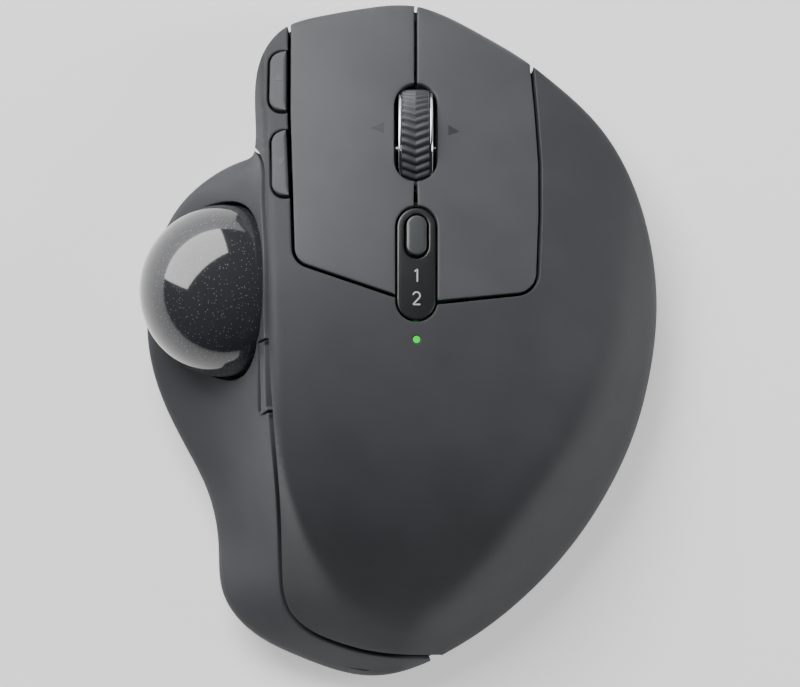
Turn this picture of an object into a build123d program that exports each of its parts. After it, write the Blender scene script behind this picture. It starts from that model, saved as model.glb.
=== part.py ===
"""Right-handed thumb-operated trackball mouse on a tilting steel base, in millimetres.

X points right, Y points forward (towards the buttons) and Z points up. The origin is on the desk
under the middle of the mouse. Every outside panel is cut out of one hollow body: a side wall that
follows the plan outline, closed at the top by the skin, a height field worked out by skin_height().
"""

import os

import numpy as np
from build123d import *

os.makedirs("parts", exist_ok=True)

# ---- driving dimensions -------------------------------------------------------------------------
WALL = 2.0  # thickness of the moulded shells
SEAM = 0.56  # width of the lines between outside panels
RUN = 0.05  # radial running clearance of a pin in its bore
FREE = 0.5  # clearance around parts that move past one another

SOLE = 1.0
PLATE = 1.6
PLATE_TOP = SOLE + PLATE
REST = 0.4  # gap left between the body's facets and the steel plate
TILT = 20.0  # angle between the two facets under the body
HINGE_X = 27.0
HINGE_R = 1.6  # the facets are tangent to a circle of this radius around the hinge line
HINGE_Z = PLATE_TOP + REST + HINGE_R
HINGE_PIN_R = 1.0
HINGE_Y = (-34.0, 34.0)

FLOOR_TOP = PLATE_TOP + REST + WALL
PARTING_Z = 10.0
LIP_Z = 12.2  # lower edge of the finger keys at the front

BALL_R = 17.0
BALL = (-34.2, 10.0, 24.0)
CUP_R = BALL_R + 0.55
CUP_WALL = 1.3
BEARING_R = 1.5

SLOT_X = 3.3  # the line between the two finger keys
WHEEL_Y = 37.7
WHEEL_Z = 26.6
WHEEL_R = 12.0
SLOT_Y = 41.2
WHEEL_WIDTH = 5.4
RIM_WIDTH = 0.7
WHEEL_SLOT = (8.5, 19.4)

BOARD_Z = 9.0
BOARD_T = 1.2
BOARD_TOP = BOARD_Z + BOARD_T


# ---- the skin -----------------------------------------------------------------------------------
def guide(*points):
    """A smooth curve through (y, value) points, straight beyond its ends."""
    y, v = np.array(points, float).T
    n, h = len(y), np.diff(y)
    matrix, right = np.eye(n), np.zeros(n)
    for i in range(1, n - 1):
        matrix[i, i - 1 : i + 2] = h[i - 1], 2 * (h[i - 1] + h[i]), h[i]
        right[i] = 6 * ((v[i + 1] - v[i]) / h[i] - (v[i] - v[i - 1]) / h[i - 1])
    bend = np.linalg.solve(matrix, right)

    def value(at, slope=False):
        at = np.asarray(at, float)
        inside = np.clip(at, y[0], y[-1])
        i = np.clip(np.searchsorted(y, inside) - 1, 0, n - 2)
        a, b, w = y[i + 1] - inside, inside - y[i], h[i]
        rise = (v[i + 1] - v[i]) / w - (bend[i + 1] - bend[i]) * w / 6
        steep = rise + (bend[i + 1] * b**2 - bend[i] * a**2) / (2 * w)
        if slope:
            return steep
        level = v[i] - bend[i] * w**2 / 6 + bend[i] * a**3 / (6 * w) + bend[i + 1] * b**3 / (6 * w)
        return level + rise * b + steep * (at - inside)

    return value


# fmt: off
CREST_Z = guide((-66.3, 10.5), (-62, 18.5), (-55, 29), (-45, 39.5), (-30, 48.3), (-15, 51.2),
                (0, 50.4), (15, 46.4), (30, 39.8), (45, 32), (57, 25.2), (66.3, 19.5))
CREST_X = guide((-66, -4), (-40, -6), (0, -9), (30, -8), (66, -4))
CAMBER = guide((-66, 0.008), (0, 0.006), (66, 0.0045))
RIGHT_X = guide((-66.3, 3), (-61.9, 9.5), (-53, 22.1), (-41.2, 33.6), (-29.3, 41.5), (-17.5, 46.8),
                (-5.6, 49.8), (6, 51), (21, 50.5), (40, 48), (66, 44))
RIGHT_Z = guide((-66, 8), (-50, 12), (-30, 14), (0, 15.5), (20, 16), (35, 18), (50, 22), (66, 24))
LEFT_X = guide((-66.3, -11), (-62.8, -19), (-56, -30.8), (-50, -34.8), (-40, -35.8), (-29.5, -38),
               (-20.4, -42.5), (-11, -47), (-1, -49.6), (9, -49.6), (19, -47.5), (26.8, -43.4),
               (32.6, -37), (36.2, -30.4), (39.5, -28.4), (48, -28.5), (66, -28.4))
LEFT_Z = guide((-66, 8), (-60, 10.5), (-52, 12), (-45, 12), (0, 12.5), (15, 13.5), (25, 15.5),
               (32, 18), (38, 20), (50, 20), (57, 18), (66, 13))
RIDGE_X = guide((-66, -3), (-60, -7), (-52, -12), (-44, -16.5), (-35, -20), (-25, -22.6),
                (-13, -24), (5, -24.8), (22, -25.4), (40, -26.2), (50, -26.6), (66, -26.4))
STRAIGHT = guide((-66, 0.97), (-55, 0.9), (-45, 0.6), (-30, 0.42), (25, 0.4), (40, 0.6), (66, 0.6))
ROUNDING = guide((-66, 4), (-50, 3.5), (-30, 2.2), (0, 1.4), (30, 1.0), (66, 0.8))

# plan outline, clockwise from the tip between the finger keys
OUTLINE = [
    (3.4, 66.2), (9.6, 64.1), (16.8, 60.3), (23.1, 56.6), (31.0, 50.7), (39.9, 42.0), (45.4, 32.9),
    (49.4, 21.0), (51.0, 6.0), (49.8, -5.6), (46.8, -17.5), (41.5, -29.3), (33.6, -41.2),
    (22.1, -53.0), (9.1, -61.9), (-5.7, -66.3), (-19.0, -62.8), (-30.8, -56.0), (-34.8, -50.0),
    (-35.8, -40.0), (-38.0, -29.5), (-42.5, -20.4), (-47.0, -11.0), (-49.6, -1.0), (-49.6, 9.0),
    (-47.5, 19.0), (-43.4, 26.8), (-37.0, 32.6), (-31.0, 35.6), (-28.9, 36.7), (-28.4, 38.6),
    (-28.5, 48.0), (-27.2, 56.0), (-22.9, 61.7), (-15.5, 64.3), (-7.0, 65.8),
]
# the seam between the thumb shell and the top cover, from the front to beyond the tail
THUMB_SEAM = [
    (-36.0, 39.6), (-29.8, 38.9), (-27.5, 36.0), (-26.9, 30.0), (-26.4, 18.7), (-26.2, 4.0), (-25.2, -15.0), (-23.8, -35.0),
    (-23.6, -44.5), (-21.8, -53.6), (-18.0, -57.3), (-12.6, -59.8), (-5.6, -61.7), (6.1, -62.6), (16.0, -62.8),
]
# fmt: on
FLANK = 2.1  # steepness of the right flank
SHOULDER = 1.8  # softness of the fold above the right flank
LIFT = 1.5  # how far the thumb wall is aimed above the crown, so that the two meet in a ridge
LEAST = 6.0  # the skin levels out at this height outside the outline


def lowest(a, b, soft):
    """The lower of two heights, with the fold between them rounded off."""
    return np.minimum(a, b) - soft * np.log1p(np.exp(-np.abs(a - b) / soft))


def crown(x, y):
    return CREST_Z(y) - CAMBER(y) * (x - CREST_X(y)) ** 2


def skin_height(x, y):
    """The palm's crown, folded down to the right flank and to the hollow for the thumb."""
    flank = RIGHT_Z(y) + FLANK * (RIGHT_X(y) - x) / np.sqrt(1 + RIGHT_X(y, slope=True) ** 2)
    dome = lowest(crown(x, y), flank, SHOULDER)
    across = (x - LEFT_X(y)) / (RIDGE_X(y) - LEFT_X(y))
    top = crown(RIDGE_X(y), y) + LIFT
    bowl = STRAIGHT(y) * across + (1 - STRAIGHT(y)) * np.clip(across, 0, 1.5) ** 4
    height = lowest(dome, LEFT_Z(y) + (top - LEFT_Z(y)) * bowl, ROUNDING(y))
    return -lowest(-height, -LEAST, 1.2)


def lining_height(x, y, depth):
    """The skin moved inwards by depth: the highest that a ball of this radius can roll under it."""
    z = skin_height(x, y) - depth
    for reach in (0.35, 0.65, 0.87, 1.0) if depth > 0 else ():
        for turn in np.radians(np.arange(0, 360, 30)):
            near = skin_height(x + depth * reach * np.cos(turn), y + depth * reach * np.sin(turn))
            z = np.minimum(z, near - depth * np.sqrt(1 - reach**2))
    return z


SECTIONS = [-72, -66, -62, -56, -48, -38, -27, -14, 0, 14, 24, 31, 37, 43, 50, 56, 61, 66, 72]
LINING_SECTIONS = [-72, -66, -60, -48, -30, -10, 8, 22, 34, 46, 57, 66, 72]
SKIN_SPREAD = [0, 0.25, 0.5, 0.7, 0.85, 0.94, 1.0], [0.04, 0.1, 0.18, 0.32, 0.5, 0.66, 0.78, 0.88, 1.0]
LINING_SPREAD = [0, 0.3, 0.6, 0.85, 1.0], [0.1, 0.3, 0.5, 0.7, 0.85, 1.0]
DEEP = -25.0


def skin_line(y, depth, spread):
    """Points on the skin, or on a lining under it, from left to right at one y."""
    y = np.clip(y, -65.5, 66)
    left, ridge, right = LEFT_X(y) - 7, RIDGE_X(y), RIGHT_X(y) + 6
    to_ridge, beyond = np.array(spread[0]), np.array(spread[1])
    x = np.concatenate([left + (ridge - left) * to_ridge, ridge + (right - ridge) * beyond])
    return [(float(a), float(b)) for a, b in zip(x, lining_height(x, y, depth))]


def outline_at(inset):
    """Points of the plan outline, moved inwards."""
    points = np.array(OUTLINE)
    along = np.roll(points, -1, axis=0) - np.roll(points, 1, axis=0)
    along /= np.linalg.norm(along, axis=1)[:, None]
    moved = points + inset * np.stack([along[:, 1], -along[:, 0]], axis=1)
    return [(float(x), float(y)) for x, y in moved]


def skin_plane(x, y, drop=0.0):
    """A plane touching the skin above (x, y), moved inwards by drop."""
    step = 0.5
    slope_x = float(skin_height(x + step, y) - skin_height(x - step, y)) / (2 * step)
    slope_y = float(skin_height(x, y + step) - skin_height(x, y - step)) / (2 * step)
    out = Vector(-slope_x, -slope_y, 1).normalized()
    foot = Vector(x, y, float(skin_height(x, y))) - out * drop
    return Plane(origin=foot, x_dir=(1, 0, slope_x), z_dir=out)


# ---- working solids: the hollow body that the outside panels are cut from -----------------------
facet_rise = float(np.tan(np.radians(TILT)))
facet_x = HINGE_X + HINGE_R * float(np.tan(np.radians(TILT / 2)))
FAR = 90.0
WALL_LEVELS = ((1.0, 4.5), (6.0, 2.0), (14.0, 0.0), (60.0, 0.0))
LINING_LEVELS = ((0.0, 3.0), (14.0, 0.0), (62.0, 0.0))

with BuildPart() as under_skin:
    for y in SECTIONS:
        with BuildSketch(Plane((0, y, 0), x_dir=(1, 0, 0), z_dir=(0, -1, 0))):
            with BuildLine():
                points = skin_line(y, 0.0, SKIN_SPREAD)
                Spline(*points)
                Polyline(points[-1], (points[-1][0], DEEP), (points[0][0], DEEP), points[0])
            make_face()
    loft()

with BuildPart() as under_lining:
    for y in LINING_SECTIONS:
        with BuildSketch(Plane((0, y, 0), x_dir=(1, 0, 0), z_dir=(0, -1, 0))):
            with BuildLine():
                points = skin_line(y, WALL, LINING_SPREAD)
                Spline(*points)
                Polyline(points[-1], (points[-1][0], DEEP), (points[0][0], DEEP), points[0])
            make_face()
    loft()

with BuildPart() as body_block:
    for z, inset in WALL_LEVELS:
        with BuildSketch(Plane.XY.offset(z)):
            with BuildLine():
                Spline(*outline_at(inset), periodic=True)
            make_face()
    loft(ruled=True)
    add(under_skin.part, mode=Mode.INTERSECT)
    with BuildSketch(Plane.XZ):
        with BuildLine():
            low = HINGE_Z - HINGE_R
            end = (FAR, low + (FAR - facet_x) * facet_rise)
            Polyline((-FAR, low), (facet_x, low), end, (FAR, FAR), (-FAR, FAR), close=True)
        make_face()
    extrude(amount=FAR, both=True, mode=Mode.INTERSECT)

with BuildPart() as cavity_block:
    for z, inset in LINING_LEVELS:
        with BuildSketch(Plane.XY.offset(z)):
            with BuildLine():
                Spline(*outline_at(inset + WALL), periodic=True)
            make_face()
    loft(ruled=True)
    add(under_lining.part, mode=Mode.INTERSECT)
    with BuildSketch(Plane.XZ):
        with BuildLine():
            end = (FAR, FLOOR_TOP + (FAR - facet_x) * facet_rise)
            Polyline((-FAR, FLOOR_TOP), (facet_x, FLOOR_TOP), end, (FAR, FAR), (-FAR, FAR), close=True)
        make_face()
    extrude(amount=FAR, both=True, mode=Mode.INTERSECT)

BOARD_POSTS = ((-13.0, -7.0), (19.0, -7.0), (-13.0, 52.0), (19.0, 50.0))
SHELL_POSTS = ((31.0, -24.0), (-12.0, -47.0), (31.5, 22.0), (-31.0, -26.0))
POST_R = 3.4
BOARD_POST_R = 2.4
HINGE_BOSS = (13.0, 16.0, 8.8)
LEFT_SWITCH = (-11.0, 45.0)
RIGHT_SWITCH = (17.6, 45.0)
SWITCH = (5.8, 12.8, 6.5)
SWITCH_TOP = BOARD_TOP + SWITCH[2]
WHEEL_SWITCH_H = 5.4
PLUNGER_R = 1.2
PLUNGER_Z = SWITCH_TOP + 0.8
MAGNETS_FLAT = ((-20.0, -16.0), (-16.0, 42.0))
MAGNETS_RIGHT = (-12.0, 10.0)
MAGNET_R = 4.0
MAGNET_T = 1.8
facet_right = Plane(
    origin=(facet_x, 0, HINGE_Z - HINGE_R),
    x_dir=(1, 0, facet_rise),
    z_dir=(-facet_rise, 0, 1),
)
MAGNET_OUT = 9.5  # distance of the right-hand magnets from the fold between the facets

with BuildPart() as cavity:
    add(cavity_block.part)
    # bosses and posts are left standing in the cavity
    with Locations(*[(x, y, BOARD_Z) for x, y in BOARD_POSTS]):
        Cylinder(BOARD_POST_R, BOARD_Z, align=(Align.CENTER, Align.CENTER, Align.MAX), mode=Mode.SUBTRACT)
    with Locations(*[(x, y, 0) for x, y in SHELL_POSTS]):
        Cylinder(POST_R, 60, align=(Align.CENTER, Align.CENTER, Align.MIN), mode=Mode.SUBTRACT)
    with Locations(*[(HINGE_X, y, 0) for y in HINGE_Y]):
        Box(*HINGE_BOSS, align=(Align.CENTER, Align.CENTER, Align.MIN), mode=Mode.SUBTRACT)
    with Locations(*[(x, y, 0) for x, y in MAGNETS_FLAT]):
        Cylinder(
            MAGNET_R + 1.4, FLOOR_TOP + 1.2,
            align=(Align.CENTER, Align.CENTER, Align.MIN), mode=Mode.SUBTRACT,
        )
    with Locations(facet_right):
        with Locations(*[(MAGNET_OUT, y, 0) for y in MAGNETS_RIGHT]):
            Cylinder(
                MAGNET_R + 1.4, WALL + 1.2,
                align=(Align.CENTER, Align.CENTER, Align.MIN), mode=Mode.SUBTRACT,
            )
    # ribs that carry each finger key's push down to its switch
    with Locations(*[(x, y, PLUNGER_Z) for x, y in (LEFT_SWITCH, RIGHT_SWITCH)]):
        Box(3.0, 3.0, 40, align=(Align.CENTER, Align.CENTER, Align.MIN), mode=Mode.SUBTRACT)

with BuildPart() as hull:
    add(body_block.part)
    add(cavity.part, mode=Mode.SUBTRACT)
    with Locations(BALL):
        Sphere(BALL_R + 0.6, mode=Mode.SUBTRACT)

PARTING = ((30.0, PARTING_Z), (52.0, PARTING_Z + 3.0), (FAR, PARTING_Z + 3.0))
PARTING_GAP = 0.3

with BuildPart() as upper_region:
    with BuildSketch(Plane.XZ):
        with BuildLine():
            edge = [(x, z + PARTING_GAP) for x, z in PARTING]
            Polyline((-FAR, edge[0][1]), *edge, (FAR, FAR), (-FAR, FAR), close=True)
        make_face()
    extrude(amount=FAR, both=True)

with BuildSketch() as thumb_region:
    with BuildLine():
        Spline(*THUMB_SEAM)
        Polyline(THUMB_SEAM[-1], (16, -FAR), (-FAR, -FAR), (-FAR, 39.6), THUMB_SEAM[0])
    make_face()

# the cover stops a seam's width short of the thumb shell
seam_along = np.gradient(np.array(THUMB_SEAM), axis=0)
seam_along /= np.linalg.norm(seam_along, axis=1)[:, None]
cover_seam = np.array(THUMB_SEAM) + SEAM * np.stack([-seam_along[:, 1], seam_along[:, 0]], axis=1)
cover_seam = [(float(x), float(y)) for x, y in cover_seam]
with BuildSketch() as cover_cut:
    with BuildLine():
        Spline(*cover_seam)
        Polyline(cover_seam[-1], (17, -FAR), (-FAR, -FAR), (-FAR, 40.2), cover_seam[0])
    make_face()

KEY_FRONT = 75.0
half_slot = SEAM / 2
with BuildSketch() as left_key_plan:
    with BuildLine():
        Polyline(
            (SLOT_X - half_slot, KEY_FRONT), (-21.4, KEY_FRONT), (-21.4, 44.9), (-20.4, 15.9),
            (SLOT_X - half_slot, 7.9), close=True,
        )
    make_face()
    fillet(left_key_plan.vertices().group_by(Axis.Y)[1], 3.5)

with BuildSketch() as right_key_plan:
    with BuildLine():
        Polyline(
            (SLOT_X + half_slot, KEY_FRONT), (24.1, KEY_FRONT), (26.8, 44.9), (27.5, 35.0),
            (27.5, 25.0), (26.9, 9.9), (SLOT_X + half_slot, 7.4), close=True,
        )
    make_face()
    fillet(right_key_plan.vertices().group_by(Axis.Y)[1], 4.0)

PLATE_PLAN = (7.6, 22.1)
PLATE_AT = (3.45, 15.3)
BUTTON_PLAN = (4.0, 7.9)
BUTTON_AT = (3.45, 20.75)
with BuildSketch() as plate_plan:
    with Locations(PLATE_AT):
        SlotOverall(PLATE_PLAN[1], PLATE_PLAN[0], rotation=90)

with BuildSketch() as wheel_slot_plan:
    with Locations((SLOT_X, SLOT_Y)):
        SlotOverall(WHEEL_SLOT[1], WHEEL_SLOT[0], rotation=90)

FORWARD_KEY_Z = 20.5
BACK_KEY_Z = 28.0
with BuildSketch() as forward_key_plan:
    with BuildLine():
        Polyline((-22.2, 57.0), (-25.4, 57.0), (-25.6, 45.3), (-22.2, 45.3), close=True)
    make_face()
    fillet(forward_key_plan.vertices().sort_by(Axis.X)[:2], 2.4)

with BuildSketch() as back_key_plan:
    with BuildLine():
        Polyline((-22.2, 41.3), (-25.1, 41.3), (-24.9, 28.5), (-21.6, 28.5), close=True)
    make_face()
    fillet(back_key_plan.vertices().sort_by(Axis.X)[:2], 2.4)

with BuildSketch() as precision_plan:
    with BuildLine():
        Polyline((-25.9, 0.2), (-27.3, -0.4), (-27.0, -14.4), (-25.5, -13.4), close=True)
    make_face()

with BuildSketch() as button_plan:
    with Locations(BUTTON_AT):
        SlotOverall(BUTTON_PLAN[1], BUTTON_PLAN[0], rotation=90)

KEY_GAP = 0.38  # clearance around the small keys
with BuildSketch() as small_openings:
    for plan in (forward_key_plan, back_key_plan, plate_plan):
        add(offset(plan.sketch, amount=KEY_GAP, mode=Mode.PRIVATE))

with BuildSketch() as key_openings:
    for plan in (left_key_plan, right_key_plan):
        add(offset(plan.sketch, amount=SEAM, kind=Kind.INTERSECTION, mode=Mode.PRIVATE))

SCREW_R = 1.25
SCREW_HEAD_R = 2.6
SCREW_SEAT = 7.8
SCREW_TIP = 16.0

# ---- outside panels -----------------------------------------------------------------------------
with BuildPart() as left_key:
    add(hull.part)
    with BuildSketch(Plane.XY.offset(LIP_Z)):
        add(left_key_plan.sketch)
        add(small_openings.sketch, mode=Mode.SUBTRACT)
        add(wheel_slot_plan.sketch, mode=Mode.SUBTRACT)
    extrude(amount=FAR, mode=Mode.INTERSECT)
    with Locations((SLOT_X, WHEEL_Y, WHEEL_Z)):
        Cylinder(WHEEL_R + 0.6, WHEEL_SLOT[0] - 0.2, rotation=(0, 90, 0), mode=Mode.SUBTRACT)

with BuildPart() as right_key:
    add(hull.part)
    with BuildSketch(Plane.XY.offset(LIP_Z)):
        add(right_key_plan.sketch)
        add(small_openings.sketch, mode=Mode.SUBTRACT)
        add(wheel_slot_plan.sketch, mode=Mode.SUBTRACT)
    extrude(amount=FAR, mode=Mode.INTERSECT)
    with Locations((SLOT_X, WHEEL_Y, WHEEL_Z)):
        Cylinder(WHEEL_R + 0.6, WHEEL_SLOT[0] - 0.2, rotation=(0, 90, 0), mode=Mode.SUBTRACT)

LIGHT_AT = (3.45, 0.4)
LIGHT_R = 0.7
with BuildPart() as top_cover:
    add(hull.part)
    add(upper_region.part, mode=Mode.INTERSECT)
    with BuildSketch():
        add(key_openings.sketch)
        add(small_openings.sketch)
        with Locations(LIGHT_AT):
            Circle(LIGHT_R)
    extrude(amount=FAR, mode=Mode.SUBTRACT)
    with BuildSketch():
        add(cover_cut.sketch)
    extrude(amount=FAR, mode=Mode.SUBTRACT)
    with Locations(*[(x, y, 0) for x, y in SHELL_POSTS]):
        Cylinder(SCREW_R, SCREW_TIP, align=(Align.CENTER, Align.CENTER, Align.MIN), mode=Mode.SUBTRACT)

with BuildPart() as thumb_shell:
    add(hull.part)
    add(upper_region.part, mode=Mode.INTERSECT)
    with BuildSketch():
        add(thumb_region.sketch)
        add(offset(precision_plan.sketch, amount=KEY_GAP, mode=Mode.PRIVATE), mode=Mode.SUBTRACT)
    extrude(amount=FAR, mode=Mode.INTERSECT)
    with Locations(*[(x, y, 0) for x, y in SHELL_POSTS]):
        Cylinder(SCREW_R, SCREW_TIP, align=(Align.CENTER, Align.CENTER, Align.MIN), mode=Mode.SUBTRACT)

EJECT_R = 4.0
SLIDER_AT = (-11.0, -34.0)
SLIDER = (3.0, 4.0)
SLIDER_TRAVEL = 3.0
USB = (7.6, 13.6, 2.7)
USB_AT = (SLOT_X, 56.8, BOARD_Z - 2.7 / 2)
LUG_R = 2.0
LUG = 4.0
PIN_LENGTH = 14.0
with BuildPart() as bottom_shell:
    add(hull.part)
    with BuildSketch(Plane.XZ):
        with BuildLine():
            Polyline((-FAR, PARTING_Z), *PARTING, (FAR, -FAR), (-FAR, -FAR), close=True)
        make_face()
    extrude(amount=FAR, both=True, mode=Mode.INTERSECT)
    with Locations((BALL[0], BALL[1], 0)):
        Cylinder(EJECT_R, 20, mode=Mode.SUBTRACT)
    with Locations(*[(x, y, 0) for x, y in SHELL_POSTS]):
        Cylinder(SCREW_R, 40, mode=Mode.SUBTRACT)
        Cylinder(SCREW_HEAD_R, 2 * SCREW_SEAT, mode=Mode.SUBTRACT)
    with Locations(*[(HINGE_X, y, HINGE_Z) for y in HINGE_Y]):
        Cylinder(LUG_R + FREE, LUG + 2 * FREE, rotation=(90, 0, 0), mode=Mode.SUBTRACT)
        Cylinder(HINGE_PIN_R + RUN, PIN_LENGTH + 0.4, rotation=(90, 0, 0), mode=Mode.SUBTRACT)
        Box(
            2 * LUG_R + 3.0, LUG + 2 * FREE, HINGE_Z,
            align=(Align.CENTER, Align.CENTER, Align.MAX), mode=Mode.SUBTRACT,
        )
    with Locations(*[(x, y, HINGE_Z - HINGE_R) for x, y in MAGNETS_FLAT]):
        Cylinder(MAGNET_R, 2 * MAGNET_T, mode=Mode.SUBTRACT)
    with Locations(facet_right):
        with Locations(*[(MAGNET_OUT, y, 0) for y in MAGNETS_RIGHT]):
            Cylinder(MAGNET_R, 2 * MAGNET_T, mode=Mode.SUBTRACT)
    with Locations(SLIDER_AT):
        Box(SLIDER[0] + 2 * KEY_GAP, SLIDER[1] + SLIDER_TRAVEL + 2 * KEY_GAP, 20, mode=Mode.SUBTRACT)
    with Locations((USB_AT[0], 66, USB_AT[2])):
        Box(USB[0] + 1.0, 12, USB[2] + 1.0, mode=Mode.SUBTRACT)

with BuildPart() as channel_plate:
    with BuildSketch(skin_plane(*PLATE_AT, drop=1.8)):
        Rectangle(30, 30)
    extrude(amount=10)
    with BuildSketch():
        add(plate_plan.sketch)
        add(offset(button_plan.sketch, amount=KEY_GAP, mode=Mode.PRIVATE), mode=Mode.SUBTRACT)
    extrude(amount=FAR, mode=Mode.INTERSECT)
    add(under_skin.part.moved(Location((0, 0, -0.15))), mode=Mode.INTERSECT)

BUTTON_Z = 39.6
with BuildPart() as channel_button:
    with BuildSketch(Plane.XY.offset(BUTTON_Z)):
        add(button_plan.sketch)
    extrude(amount=10)
    add(under_skin.part.moved(Location((0, 0, 0.5))), mode=Mode.INTERSECT)

with BuildPart() as forward_key:
    with BuildSketch(Plane.XY.offset(FORWARD_KEY_Z)):
        add(forward_key_plan.sketch)
    extrude(amount=30)
    add(under_skin.part.moved(Location((-0.5, 0, 0.7))), mode=Mode.INTERSECT)

with BuildPart() as back_key:
    with BuildSketch(Plane.XY.offset(BACK_KEY_Z)):
        add(back_key_plan.sketch)
    extrude(amount=30)
    add(under_skin.part.moved(Location((-0.5, 0, 0.7))), mode=Mode.INTERSECT)

PRECISION_Z = 33.0
with BuildPart() as precision_key:
    with BuildSketch(Plane.XY.offset(PRECISION_Z)):
        add(precision_plan.sketch)
    extrude(amount=30)
    add(under_skin.part.moved(Location((-0.5, 0, 0.3))), mode=Mode.INTERSECT)
    with Locations(BALL):
        Sphere(CUP_R + CUP_WALL + FREE, mode=Mode.SUBTRACT)

# ---- trackball, its cup and the optical sensor --------------------------------------------------
BEARING_POLAR = 40.0
bearing_reach = BALL_R + BEARING_R + RUN
polar = np.radians(BEARING_POLAR)
bearing_spots = [
    (
        BALL[0] + bearing_reach * float(np.sin(polar) * np.cos(turn)),
        BALL[1] + bearing_reach * float(np.sin(polar) * np.sin(turn)),
        BALL[2] - bearing_reach * float(np.cos(polar)),
    )
    for turn in np.radians((90.0, 210.0, 330.0))
]
sensor_plane = Plane(origin=BALL, x_dir=(0.5, -0.866, 0), z_dir=(0.709, 0.41, -0.574))
LENS_R = 2.4

with BuildPart() as ball_cup:
    with Locations(BALL):
        Sphere(CUP_R + CUP_WALL)
    with Locations(*bearing_spots):
        Sphere(BEARING_R + 1.0)
    add(cavity_block.part, mode=Mode.INTERSECT)
    with Locations(BALL):
        Sphere(CUP_R, mode=Mode.SUBTRACT)
    with Locations(*bearing_spots):
        Sphere(BEARING_R, mode=Mode.SUBTRACT)
    with Locations((BALL[0], BALL[1], 0)):
        Cylinder(EJECT_R, 30, mode=Mode.SUBTRACT)
    with BuildSketch(sensor_plane):
        Circle(LENS_R)
    extrude(amount=30, mode=Mode.SUBTRACT)

with BuildPart() as cup_bearings:
    with Locations(*bearing_spots):
        Sphere(BEARING_R)

with BuildPart() as trackball:
    with Locations(BALL):
        Sphere(BALL_R)

LENS_FROM = CUP_R + 0.2
with BuildPart() as sensor_lens:
    with BuildSketch(sensor_plane.offset(LENS_FROM)):
        Circle(LENS_R)
    extrude(amount=2.6)
    with BuildSketch(sensor_plane.offset(LENS_FROM + 1.6)):
        Rectangle(7.0, 7.0)
    extrude(amount=1.0)

with BuildPart() as sensor_chip:
    with BuildSketch(sensor_plane.offset(LENS_FROM + 2.6)):
        Rectangle(8.5, 8.0)
    extrude(amount=2.0)

with BuildPart() as sensor_board:
    with BuildSketch(sensor_plane.offset(LENS_FROM + 4.6)):
        Rectangle(12.0, 9.6)
    extrude(amount=1.0)

# ---- wheel module, drawn on a plane parallel to the skin at the wheel ---------------------------
WHEEL_SLOPE = 27.0
lean = np.radians(WHEEL_SLOPE)
forward_y, forward_z = float(np.cos(lean)), -float(np.sin(lean))
wheel_plane = Plane(
    origin=(SLOT_X, WHEEL_Y, WHEEL_Z), x_dir=(1, 0, 0), z_dir=(0, -forward_z, forward_y)
)
AXLE_R = 1.0
RAIL_IN, RAIL_OUT = 3.95, 5.4
YOKE_REACH = 12.6
YOKE_END = 13.7
YOKE_PIN_END = 15.0
RAIL_H = 4.0
RING_IN, RING_OUT = 6.0, 8.0
RING_REACH, RING_END = 14.0, 15.8
RING_H = 4.4
YOKE_PIN_R = 1.2
PRESS_BACK = 16.2
PRESS_PIN_R = 1.0
SIDE_IN, SIDE_OUT = 8.5, 10.3

with BuildPart(wheel_plane) as wheel_hub:
    Cylinder(8.2, WHEEL_WIDTH, rotation=(0, 90, 0))
    Cylinder(AXLE_R, 2 * WHEEL_WIDTH, rotation=(0, 90, 0), mode=Mode.SUBTRACT)

with BuildPart(wheel_plane) as wheel_axle:
    Cylinder(AXLE_R, 2 * RAIL_OUT + 0.2, rotation=(0, 90, 0))

CLEATS = 40
with BuildPart(wheel_plane) as wheel_tyre:
    Cylinder(WHEEL_R - 0.5, WHEEL_WIDTH, rotation=(0, 90, 0))
    with BuildSketch(Plane(origin=wheel_plane.origin, x_dir=(0, 1, 0), z_dir=(1, 0, 0))):
        with PolarLocations(WHEEL_R - 0.45, CLEATS):
            Rectangle(1.1, 0.9)
    extrude(amount=WHEEL_WIDTH / 2 - 0.3, both=True)
    Cylinder(8.2, 2 * WHEEL_WIDTH, rotation=(0, 90, 0), mode=Mode.SUBTRACT)

with BuildPart(wheel_plane) as wheel_rims:
    with Locations(*[(side * (WHEEL_WIDTH + RIM_WIDTH) / 2, 0, 0) for side in (-1, 1)]):
        Cylinder(WHEEL_R - 0.4, RIM_WIDTH, rotation=(0, 90, 0))
        Cylinder(7.0, RIM_WIDTH, rotation=(0, 90, 0), mode=Mode.SUBTRACT)

with BuildPart(wheel_plane) as wheel_tilt_yoke:
    Box(2 * RAIL_OUT, 2 * YOKE_END, RAIL_H)
    Box(2 * RAIL_IN, 2 * YOKE_REACH, RAIL_H, mode=Mode.SUBTRACT)
    Cylinder(AXLE_R + RUN, 3 * RAIL_OUT, rotation=(0, 90, 0), mode=Mode.SUBTRACT)
    with Locations(*[(0, side * (YOKE_END + YOKE_PIN_END) / 2, 0) for side in (-1, 1)]):
        Cylinder(YOKE_PIN_R, YOKE_PIN_END - YOKE_END, rotation=(90, 0, 0))

with BuildPart(wheel_plane) as wheel_encoder:
    with Locations((-(RAIL_IN + RAIL_OUT) / 2, 0, -RAIL_H / 2)):
        Box(
            RAIL_OUT - RAIL_IN, 8.0, 6.0,
            align=(Align.CENTER, Align.CENTER, Align.MAX),
        )

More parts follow.
